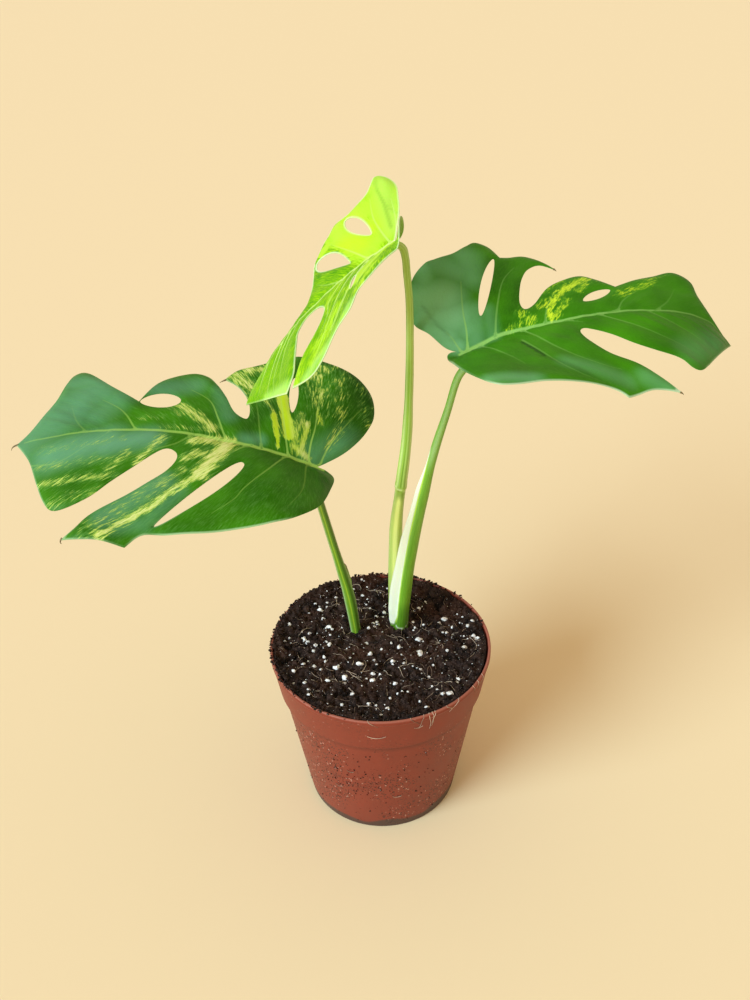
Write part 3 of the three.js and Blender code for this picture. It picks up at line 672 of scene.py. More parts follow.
# Living stalk skin: smooth, waxy and juicy, with fine lengthwise fibres and a soft sheen. Dark, bright,
# pale and brown strips run along it where the marks say. The fibres, about 0.1 mm wide in truth, are
# drawn 0.5 mm wide and 22 mm long, as fine as shows.
def stalk_skin(name, colours):
    """A stalk's material: a base green streaked lengthwise, with the marked strips mixed over it."""
    material, tree, shader = new_material(name)
    place = add(tree, "TexCoord", {}, "Object")
    drawn_out = add(tree, "Mapping", {"Vector": place, "Scale": (1 / 0.5, 1 / 0.5, 1 / 22)})
    grain = add(tree, "TexNoise", {"Vector": drawn_out, "Scale": 1 / MM, "Detail": 3, "Roughness": 0.6})
    cloud = add(tree, "TexNoise", {"Vector": place, "Scale": 1 / (14 * MM), "Detail": 3})
    streak = add(tree, "MapRange", {0: grain, 1: 0.3, 2: 0.7})
    both = add(tree, "Mix", {0: 0.5, 2: streak, 3: cloud}, data_type="FLOAT")
    skin = add(tree, "Mix", {0: both, 6: colours["deep"], 7: colours["mid"]}, **BLEND)
    for mark in ("dark", "bright", "pale", "brown"):
        strength = add(tree, "Attribute", {}, "Fac", attribute_name=mark)
        skin = add(tree, "Mix", {0: strength, 6: skin, 7: colours[mark]}, **BLEND)
    bump = add(tree, "Bump", {"Height": grain, "Distance": 0.15 * MM, "Strength": 0.45})
    sheen = add(tree, "MapRange", {0: cloud, 3: 0.3, 4: 0.42})
    feed(shader, {"Base Color": skin, "Roughness": sheen, "Normal": bump, "IOR": 1.42})
    feed(shader, {"Subsurface Weight": 0.15, "Subsurface Radius": (1.5 * MM, 2 * MM, 0.6 * MM)})
    return material


def ring_tilt(angle):
    """The centre stalk's ring sits lower at its front right, in millimetres."""
    return 1.1 * np.cos(np.radians(angle - 310))


def above_ring(height):
    """1 over the centre stalk's ring and 0 under it."""
    return eased([(191, 0), (194, 1)], height)


def channel_turn(height):
    """How far the right stalk's open channel has turned from its usual place, in degrees."""
    return eased([(100, -45), (104, -30), (112, -8), (125, -9), (145, -19), (185, -30), (224, -30)], height)


def channel_foot(angle, height):
    """The height over the slanting foot of the right stalk's channel, which is at 104 mm on average."""
    return height + 2.5 * np.cos(np.radians(angle - 250))


def wing_at(height):
    """How far the open sheath's wing stands out from the right stalk, in girths."""
    keys = [(99, 0.3), (106, 0.62), (114, 0.8), (125, 0.85), (160, 0.8), (195, 0.45), (216, 0)]
    return eased(keys, height)


# A stalk's path is its middle line, and its girth is a radius at each height. Its shape is a factor on
# that radius at an angle and height, and its marks are strengths from 0 to 1.
stalks = {
    "left": {
        "path": [
            (-11.4, 15, 76), (-13.5, 11.5, 100), (-16.4, 7.8, 128), (-19.9, 5, 148), (-23.5, 2.5, 167),
            (-27, 0, 186), (-30, -2.2, 202), (-32.7, -3.4, 212.3), (-30.3, -4, 216.6),
        ],
        "girth": [(75, 2.6), (100, 2.8), (125, 3.1), (140, 2.7), (165, 2.2), (200, 2), (216, 2.2)],
        "shape": lambda angle, height: (
            1 - 0.14 * strip(angle, 270, 22)
            + 0.3 * strip(angle, 10, 14) * eased([(132, 0), (139, 1), (149, 1), (151, 0)], height)
        ),
        "marks": {
            # Painted shade: the dark strip at 315 degrees runs down the side turned away from the light.
            "dark": lambda angle, height: 0.85 * strip(angle, 315, 30),
            "bright": lambda angle, height: 0.9 * strip(angle, 268, 7),
            # Painted highlight: the pale strip at 212 degrees runs down the side that faces the light.
            "pale": lambda angle, height: 0.3 * strip(angle, 212, 17) + 0.25 * strip(angle, 352, 10),
            "brown": lambda angle, height: (
                0.1 + 0.9 * strip(angle, 10, 12) * eased([(143, 0), (148, 1), (151, 1), (154, 0)], height)
                + 0.7 * strip(angle, 348, 11)
                * eased([(150, 0), (158, 0.6), (186, 0.6), (196, 1), (199, 0)], height)
            ),
        },
    },
    "centre": {
        "path": [
            (8.6, 26.5, 76), (8.7, 24, 100), (8.8, 20.6, 141), (9.7, 17.8, 169), (12, 15.8, 192),
            (14.8, 13.6, 220), (15.8, 11.8, 243), (16.2, 9.6, 270), (15.8, 7.6, 295), (14.6, 6.6, 309),
            (14, 6, 315.5), (12.6, 5.6, 320.2), (8.9, 4.9, 322.5),
        ],
        "girth": [
            (75, 3.4), (120, 3.6), (160, 3.4), (187, 2.7), (190.6, 2.7), (191.2, 3.1), (193, 3.1),
            (196, 2.9), (225, 2.5), (245, 2), (280, 1.75), (300, 1.65), (319, 1.6), (321, 1.4),
        ],
        "shape": lambda angle, height: 1 - 0.1 * strip(angle, 250, 24),
        "marks": {
            "dark": lambda angle, height: (
                above_ring(height) * eased([(200, 1), (232, 0.25)], height)
                * (0.9 * strip(angle, 262, 8) + 0.7 * strip(angle, 300, 7) + 0.5 * strip(angle, 235, 6))
                + 0.8 * eased([(120, 0), (170, 0.3), (188, 1), (190, 0)], height) * strip(angle, 270, 50)
            ),
            "bright": lambda angle, height: (
                (0.8 * strip(angle, 262, 24) + 0.45 * strip(angle, 262, 60))
                * eased([(96, 0.45), (118, 1), (182, 1), (188, 0.2), (190, 0)], height)
                # Painted light: this weaker bright strip lightens the stalk's top, where the centre leaf's
                # shadow falls.
                + 0.3 * strip(angle, 240, 60) * eased([(255, 0), (285, 1)], height)
            ),
            # Painted highlights: the pale strips at 222 degrees over the ring and at 205 degrees under it run
            # down the side that faces the light.
            "pale": lambda angle, height: (
                0.6 * above_ring(height)
                * (strip(angle, 325, 22) + strip(angle, 222, 16) + 0.6 * strip(angle, 281, 6))
                + 0.35 * (1 - above_ring(height)) * (strip(angle, 325, 16) + strip(angle, 205, 20))
                + 0.9 * eased([(190.9, 0), (191.3, 1), (191.9, 1), (192.4, 0)], height + ring_tilt(angle))
            ),
            "brown": lambda angle, height: (
                0.5 * eased([(189.8, 0), (190.5, 1), (191, 0)], height + ring_tilt(angle))
                + 0.5 * strip(angle, 345, 9) * eased([(236, 0), (240, 1), (252, 0.4), (258, 0)], height)
            ),
        },
    },
    "right": {
        "path": [
            (9.9, 15.8, 76), (11.4, 13.9, 100), (12.6, 11.9, 120), (15.8, 8.8, 150), (21, 5.3, 184),
            (27.8, 1.4, 221), (33.4, -0.9, 244), (37.6, -3, 262), (42, -3.2, 269.8), (41.2, -3.9, 274.4),
        ],
        "girth": [(75, 4.2), (125, 4.1), (150, 3.6), (190, 3), (216, 2.2), (250, 1.7), (275, 1.8)],
        "shape": lambda angle, height: (
            1 + wing_at(height) * strip(angle, 175, 15)
            - 0.25 * np.minimum(1, 2 * wing_at(height)) * strip(angle, 215, 22)
        ),
        "marks": {
            "dark": lambda angle, height: (
                0.3 * strip(angle, 262, 20) * eased([(120, 0), (160, 1), (200, 1), (230, 0)], height)
                + 0.7 * eased([(98, 0), (101, 1), (112, 0.8), (124, 0)], height)
            ),
            "bright": lambda angle, height: (
                strip(angle, 238 + channel_turn(height), 9)
                * eased([(103, 0), (106, 1), (205, 1), (224, 0)], height)
            ),
            "pale": lambda angle, height: (
                eased([(158, 0), (168, 1), (227, 1), (233, 0)], angle - channel_turn(height))
                * eased([(101, 0), (104, 1), (217, 1), (224, 0)], height)
                + 0.18 * strip(angle, 250, 40) * eased([(206, 0), (222, 1)], height)
                + 0.7 * eased([(104, 0), (104.5, 1), (105, 0)], channel_foot(angle, height))
            ),
            "brown": lambda angle, height: (
                0.3 * strip(angle, 173, 5) * eased([(100, 1), (190, 1), (204, 0)], height)
                + 0.5 * eased([(103, 0), (103.4, 1), (103.9, 0)], channel_foot(angle, height))
            ),
        },
    },
}
green_skin = stalk_skin("green_stalk_skin", {
    "deep": "#62991f", "mid": "#82b534", "dark": "#3f7012", "bright": "#b4d838", "pale": "#f1f5d6",
    "brown": "#6b4a2c",
})
lime_skin = stalk_skin("lime_stalk_skin", {
    "deep": "#8cba38", "mid": "#a3cc48", "dark": "#688e26", "bright": "#f2ff92", "pale": "#dcefa0",
    "brown": "#8a7646",
})
for side, skin, slot in (
    ("left", green_skin, "leaf_stalk"),
    ("centre", lime_skin, "pale_leaf_stalk"),
    ("right", green_skin, "leaf_stalk"),
):
    grown = stalk_piece(f"stalk_{side}", stalks[side], skin)
    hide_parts(f"petiole_{side}")
    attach(grown, "root")

# Leaf blades: each leaf's blade is one thin waxy sheet, about half a millimetre thick, cut into lobes
# by slots from the edge and pierced by holes near the midrib. The midrib and the side veins are pale,
# let in on the top and proud underneath, and the sheet between them is slightly quilted.
BLADE_HALF = 0.3
BLADE_RIM_HALF = 0.14
RIM_WIDTH = 1.6
EDGE_STEP = 1.1
MESH_STEP = 1.25
VEIN_STEP = 1.1
# How far the bent sheet reaches before the leaf's base and beyond its length.
SHEET_BEFORE = 60
SHEET_BEYOND = 31
# How wide the fold over the midrib is rounded, and how far out the ripple has its full height.
FOLD_ROUND = 2
RIPPLE_OUT = 60
# A side vein's half width at its start and its end.
VEIN_HALVES = (0.5, 0.25)
# Between which places on the midrib's line a side vein can start.
VEIN_STARTS = (-60.0, 220.0)
# How far across the grain a whole turn of the veins' slope counts, by the radian.
GRAIN_TURN = 22
# How far from a vein the sheet rises to its full quilting, how high the puckers in it are, and how far
# from an edge both have died away.
QUILT_REACH = 6
PUCKER = 0.4
CALM_EDGE = 3
# The flat grid's box, its triangles' height, and how far its points stay from an edge and from a vein.
GRID_BEFORE = 30
GRID_BEYOND = 8
GRID_OUT = 70
ROW_STEP = MESH_STEP * 0.866
EDGE_CLEAR = 0.6 * EDGE_STEP
VEIN_CLEAR = 0.62 * VEIN_STEP


def blade_surface(leaf):
    """The function from flat leaf coordinates to points on the middle of the bent sheet."""
    length = leaf["length"]
    along = np.arange(-SHEET_BEFORE, length + SHEET_BEYOND)
    pitch = np.radians(leaf["pitch"] - leaf["droop"] * np.maximum(along / length, 0) ** leaf["droop_power"])
    azimuth = math.radians(leaf["azimuth"])
    roll = math.radians(leaf["roll"])
    ahead = np.cos(pitch)
    forward = np.stack([math.cos(azimuth) * ahead, math.sin(azimuth) * ahead, np.sin(pitch)], 1)
    flat = np.array([-math.sin(azimuth), math.cos(azimuth), 0])
    upward = np.cross(forward, flat)
    side = flat * math.cos(roll) + upward * math.sin(roll)
    up = upward * math.cos(roll) - flat * math.sin(roll)
    steps = (forward[1:] + forward[:-1]) / 2
    spine = np.vstack([[0, 0, 0], np.cumsum(steps, 0)])
    spine = spine - spine[SHEET_BEFORE] + np.array(leaf["base"])

    def at(x, y):
        x = np.asarray(x, float)
        y = np.asarray(y, float)
        place = np.clip(x + SHEET_BEFORE, 0, len(along) - 1.001)
        low = place.astype(int)
        t = (place - low)[:, None]
        folds = (eased(leaf[key], x / length) for key in ("left_fold", "right_fold"))
        fold = np.radians(np.where(y >= 0, *folds))
        curl = math.radians(leaf["curl"]) / 10
        out = np.sqrt(y * y + FOLD_ROUND**2) - FOLD_ROUND
        width = (np.sin(fold) - np.sin(fold - curl * out)) / curl
        tall, wave, left_phase, right_phase = leaf["ripple"]
        phase = 2 * math.pi * x / wave + np.where(y >= 0, left_phase, right_phase)
        ripple = tall * (out / RIPPLE_OUT) ** 2 * np.sin(phase)
        rise = (np.cos(fold - curl * out) - np.cos(fold)) / curl + ripple
        across = np.sign(y) * width + (y - np.sign(y) * out) * np.cos(fold)
        return (
            spine[low] * (1 - t) + spine[low + 1] * t
            + (side[low] * (1 - t) + side[low + 1] * t) * across[:, None]
            + (up[low] * (1 - t) + up[low + 1] * t) * rise[:, None]
        )

    return at


def normals_of(surface, x, y):
    """Unit normals of the bent sheet."""
    along = surface(x + 0.5, y) - surface(x - 0.5, y)
    across = surface(x, y + 0.5) - surface(x, y - 0.5)
    normal = np.cross(along, across)
    return normal / np.linalg.norm(normal, axis=1)[:, None]


def smooth_run(points, step):
    """About even steps along the smooth run through points. The last point is left out."""
    points = np.array(points, float)
    last = len(points) - 1
    walked = []
    for i in range(last):
        p0, p1, p2, p3 = (points[min(max(k, 0), last)] for k in (i - 1, i, i + 1, i + 2))
        square = 2 * p0 - 5 * p1 + 4 * p2 - p3
        cubic = 3 * (p1 - p2) + p3 - p0
        for t in np.linspace(0, 1, 20, endpoint=False):
            walked.append(p1 + 0.5 * t * (p2 - p0 + t * (square + t * cubic)))
    return even_steps(np.array([*walked, points[-1]]), step, least=2)[:-1]


def opening_loop(start, end, width, widest, bend):
    """A spindle-shaped opening between two points, widest at a share of its length, with a bowed middle."""
    start, end = np.array(start, float), np.array(end, float)
    length = np.linalg.norm(end - start)
    ahead = (end - start) / length
    aside = np.array([-ahead[1], ahead[0]])
    parts = max(8, round(length / EDGE_STEP) + 1)
    t = (1 - np.cos(np.pi * np.arange(parts + 1) / parts)) / 2
    half = (width / 2) * np.sin(np.pi * t ** (math.log(0.5) / math.log(widest))) ** 0.55
    bow = bend * 4 * t * (1 - t)
    one = start + np.outer(length * t, ahead) + np.outer(bow + half, aside)
    other = start + np.outer(length * t, ahead) + np.outer(bow - half, aside)
    return np.concatenate([one[:-1], other[:0:-1]])


def inside_loop(points, loop):
    """Which points lie inside a closed loop."""
    x, y = points[:, 0], points[:, 1]
    hit = np.zeros(len(points), bool)
    for (ax, ay), (bx, by) in zip(loop, np.roll(loop, -1, 0)):
        if ay != by:
            hit ^= ((ay > y) != (by > y)) & (x < (bx - ax) * (y - ay) / (by - ay) + ax)
    return hit


def distance_to(points, line, closed=False):
    """Each point's distance to a line of points, and how far along the line its nearest place is, 0 to 1."""
    line = np.array(line, float)
    ends = np.roll(line, -1, 0) if closed else line[1:]
    starts = line if closed else line[:-1]
    best = np.full(len(points), 1e9)
    share = np.zeros(len(points))
    for i, (a, b) in enumerate(zip(starts, ends)):
        t = np.clip((points - a) @ (b - a) / max((b - a) @ (b - a), 1e-9), 0, 1)
        reach = np.linalg.norm(points - a - np.outer(t, b - a), axis=1)
        nearer = reach < best
        best[nearer] = reach[nearer]
        share[nearer] = (i + t[nearer]) / len(starts)
    return best, share


def grain_of(leaf, x, y):
    """How far a place is across and along the side veins' direction, in millimetres.
    Each side vein leaves the midrib at its start with a slope and bends toward the tip. The start of
    the one through a place is found by halving the stretch where it can be."""
    first, last = VEIN_STARTS
    low = np.full(len(x), first)
    high = np.full(len(x), last)
    out = np.abs(y)
    for _ in range(40):
        start = (low + high) / 2
        reached = start + eased(leaf["vein_slope"], start) * out + eased(leaf["vein_bend"], start) * out**2
        low = np.where(reached < x, start, low)
        high = np.where(reached < x, high, start)
    slope = eased(leaf["vein_slope"], start)
    return start + GRAIN_TURN * np.arctan(slope), np.hypot(x - start, y)


def patch_strength(points, patches):
    """The strongest of the soft-edged patches at each point; a patch is (from, to, reach, strength)."""
    strength = np.zeros(len(points))
    for start, end, reach, most in patches:
        near = np.clip(1 - distance_to(points, [start, end])[0] / reach, 0, 1)
        strength = np.maximum(strength, most * near * near * (3 - 2 * near))
    return strength


def flat_sheet(loops, lines, length):
    """The flat leaf's points and triangles: rows along its loops and veins, and an even grid between."""

    def on_the_leaf(places):
        """Which places lie inside the edge, the first loop, and in none of the openings, the others."""
        edge, *openings = (inside_loop(places, loop) for loop in loops)
        return edge & ~np.any(openings, axis=0)

    columns = np.arange(-GRID_BEFORE, length + GRID_BEYOND, MESH_STEP)
    xs, ys = np.meshgrid(columns, np.arange(-GRID_OUT, GRID_OUT, ROW_STEP))
    xs = xs + (np.arange(len(ys)) % 2)[:, None] * MESH_STEP / 2
    grid = np.stack([xs.ravel(), ys.ravel()], 1)
    grid = grid[on_the_leaf(grid)]
    for loop in loops:
        grid = grid[distance_to(grid, loop, closed=True)[0] > EDGE_CLEAR]
    for line in lines:
        grid = grid[distance_to(grid, line)[0] > VEIN_CLEAR]
    points = []
    edges = []
    for row, closed in [(loop, True) for loop in loops] + [(line, False) for line in lines]:
        start = len(points)
        points += [tuple(p) for p in row]
        edges += [(start + i, start + i + 1) for i in range(len(row) - 1)]
        if closed:
            edges.append((start + len(row) - 1, start))
    points += [tuple(p) for p in grid]
    filled = geometry.delaunay_2d_cdt([Vector(p) for p in points], edges, [], 0, 1e-4)
    flat = np.array([tuple(v) for v in filled[0]])
    corners = np.array([tuple(face) for face in filled[2]])
    corners = corners[on_the_leaf(flat[corners].mean(1))]
    used = np.unique(corners)
    return flat[used], np.searchsorted(used, corners)


def blade_mesh(name, leaf, material):
    """A leaf's blade, and its bent sheet: two faces with their veins, the rim between them, and the marks
    that its material reads."""
    outline = np.concatenate([smooth_run(run, EDGE_STEP) for run in leaf["edge"]])
    loops = [outline, *(opening_loop(*opening) for opening in leaf["openings"])]
    midrib = smooth_run(leaf["midrib"], VEIN_STEP)
    veins = [(midrib, leaf["midrib_half"], leaf["midrib_half"] * 0.3, 1)]
    veins += [(smooth_run(run, VEIN_STEP), *VEIN_HALVES, strength) for strength, run in leaf["veins"]]
    flat, corners = flat_sheet(loops, [line for line, *_ in veins], leaf["length"])

    x, y = flat[:, 0], flat[:, 1]
    to_edge = np.min([distance_to(flat, loop, closed=True)[0] for loop in loops], axis=0)
    # A point's distance to its nearest vein, in that vein's half widths, and how pale that vein is; then the
    # veins' depth on the top and height underneath, and the distance in millimetres. All start as far off.
    vein = np.full(len(flat), 9.0)
    paleness = np.zeros(len(flat))
    groove = np.zeros(len(flat))
    rib = np.zeros(len(flat))
    away = np.full(len(flat), 60.0)
    for line, wide, narrow, strength in veins:
        reach, share = distance_to(flat, line)
        half = wide + (narrow - wide) * share
        nearer = reach / half < vein
        vein = np.where(nearer, reach / half, vein)
        paleness = np.where(nearer, strength * (1 - 0.75 * share), paleness)
        groove = np.maximum(groove, 0.5 * half * np.exp(-((reach / (1.3 * half + 0.5)) ** 2)))
        rib = np.maximum(rib, 1.1 * half * np.exp(-((reach / (1.1 * half + 0.3)) ** 2)))
        away = np.minimum(away, reach)
    across, along = grain_of(leaf, x, y)
    along = along / leaf["dash_length"]
    quilt = leaf["quilt"] * (1 - np.exp(-((away / QUILT_REACH) ** 2)))
    puckers = np.array([noise.noise(Vector((a / 6, b / 5, 1.7))) for a, b in zip(across, along)])
    inner = np.clip(to_edge / CALM_EDGE, 0, 1)
    half = BLADE_RIM_HALF + (BLADE_HALF - BLADE_RIM_HALF) * np.clip(to_edge / RIM_WIDTH, 0, 1)
    sway = (quilt + PUCKER * puckers) * inner
    surface = blade_surface(leaf)
    middle = surface(x, y)
    normal = normals_of(surface, x, y)
    top = middle + normal * (half + sway - groove * inner)[:, None]
    under = middle - normal * (half - sway + rib * inner)[:, None]

    # The top and the underside are the same triangles, and a rim joins them along every open edge.
    faces = [tuple(int(v) for v in face) for face in corners]
    count = len(flat)
    rims = {}
    for face in faces:
        for a, b in zip(face, face[1:] + face[:1]):
            if rims.pop((b, a), None) is None:
                rims[(a, b)] = True
    both = faces + [(a + count, c + count, b + count) for a, b, c in faces]
    both += [(b, a, a + count, b + count) for a, b in rims]
    made = new_piece(name, np.concatenate([top, under]), both, material, crease=65)
    marks = {"vein": vein, "paleness": paleness, "edge": to_edge}
    for mark in ("gold", "yolk", "cool_painted_light", "dark", "crease", "rim"):
        marks[mark] = patch_strength(flat, leaf[mark])
    for mark, values in marks.items():
        mark_points(made, mark, np.tile(values, 2))
    mark_points(made, "under", np.repeat([0.0, 1.0], count))
    for mark, columns in {"grain": (across, along), "sheet": (x, y)}.items():
        mark_points(made, mark, np.tile(np.stack([*columns, np.zeros(count)], 1), (2, 1)))
    return made, surface


# Living leaf tissue: a waxy, slightly translucent skin over green cells. Streaks and flecks that lack
# green lie along the side veins, and the veins and the rim are pale. The flecks, down to about 0.2 mm
# wide in truth, are drawn 0.42 mm and 1.7 mm wide, and the cells' grain 0.9 mm, so that they show.
def leaf_material(name, colours):
    """A leaf's material: green tints, a painted cool sheen, painted shade along folds and in a slit,
    flecks of its pale colours, its veins, its rim and its underside.
    """
    material, tree, shader = new_material(name)
    mark = {
        key: add(tree, "Attribute", {}, "Fac", attribute_name=key)
        for key in ("gold", "yolk", "cool_painted_light", "dark", "crease", "vein", "paleness", "edge", "rim", "under")
    }
    grain = add(tree, "Attribute", {}, "Vector", attribute_name="grain")
    sheet = add(tree, "Attribute", {}, "Vector", attribute_name="sheet")
    dashes = add(tree, "Mapping", {"Vector": grain, "Scale": (1 / 0.42, 1, 1)})
    dash = add(tree, "TexNoise", {"Vector": dashes, "Scale": 1, "Detail": 4, "Roughness": 0.7})
    blots = add(tree, "Mapping", {"Vector": grain, "Scale": (1 / 1.7, 1 / 1.7, 1)})
    blot = add(tree, "TexNoise", {"Vector": blots, "Scale": 1, "Detail": 3, "Roughness": 0.6})
    spread = add(tree, "MapRange", {0: dash, 1: 0.28, 2: 0.72})
    blotted = add(tree, "MapRange", {0: blot, 1: 0.3, 2: 0.7})
    both = add(tree, "Mix", {0: 0.36, 2: spread, 3: blotted}, data_type="FLOAT")
    level = add(tree, "Math", {0: both, 1: mark["gold"]}, operation="ADD")
    golden = add(tree, "MapRange", {0: level, 1: 0.98, 2: 1.07})
    rich = add(tree, "MapRange", {0: level, 1: 1.02, 2: 1.35})
    halved = add(tree, "MapRange", {0: level, 1: 0.78, 2: 1.02, 4: 0.6})
    large = add(tree, "TexNoise", {"Vector": sheet, "Scale": 1 / 24, "Detail": 2})
    tone = add(tree, "MapRange", {0: large, 1: 0.3, 2: 0.7})
    faint = add(tree, "MapRange", {0: dash, 1: 0.48, 2: 0.66, 4: colours["streak"]})
    shade = add(tree, "MapRange", {0: dash, 1: 0.34, 2: 0.5, 3: colours["shade"], 4: 0})
    # Painted sheen: part of the cool tint is laid again over the pale flecks.
    painted_sheen_on_flecks = add(tree, "Math", {0: mark["cool_painted_light"], 1: 0.35}, operation="MULTIPLY")
    cream = add(tree, "Mix", {0: rich, 6: colours["gold"], 7: colours["cream"]}, **BLEND)
    ripe = add(tree, "Mix", {0: mark["yolk"], 6: cream, 7: colours["yolk"]}, **BLEND)
    line = add(tree, "MapRange", {0: mark["vein"], 1: 0.6, 2: 1.3, 3: 0.9, 4: 0})
    lined = add(tree, "Math", {0: line, 1: mark["paleness"]}, operation="MULTIPLY")
    margin = add(tree, "MapRange", {0: mark["edge"], 1: 0.1, 2: 0.9, 3: 1, 4: 0})
    rim = add(tree, "Math", {0: margin, 1: mark["rim"]}, operation="MULTIPLY")
    beneath = add(tree, "Math", {0: mark["under"], 1: 0.55}, operation="MULTIPLY")
    skin = colours["deep"]
    # Two layers here are painted light: the cool patches are a painted sheen, and the crease patches are
    # painted shade along folds and in a slit.
    for share, over in (
        (tone, colours["mid"]), (mark["cool_painted_light"], colours["cool_painted_light"]), (mark["dark"], colours["dark"]),
        (shade, colours["dark"]), (faint, colours["light"]), (halved, colours["light"]), (golden, ripe),
        (painted_sheen_on_flecks, colours["cool_painted_light"]), (mark["crease"], colours["dark"]), (lined, colours["vein"]),
        (rim, colours["rim"]), (beneath, colours["under"]),
    ):
        skin = add(tree, "Mix", {0: share, 6: skin, 7: over}, **BLEND)
    cells = add(tree, "TexNoise", {"Vector": sheet, "Scale": 1 / 0.9, "Detail": 2})
    small = add(tree, "Math", {0: dash, 1: 0.6, 2: cells}, operation="MULTIPLY_ADD")
    bump = add(tree, "Bump", {"Height": small, "Distance": 0.12 * MM, "Strength": 0.5})
    sheen = add(tree, "MapRange", {0: large, 3: 0.34, 4: 0.46})
    feed(shader, {"Base Color": skin, "Roughness": sheen, "Normal": bump})
    feed(shader, {"IOR": 1.42, "Specular IOR Level": 0.12})
    feed(shader, {"Subsurface Weight": 0.12, "Subsurface Radius": (0.6 * MM, 1 * MM, 0.3 * MM)})
    return material
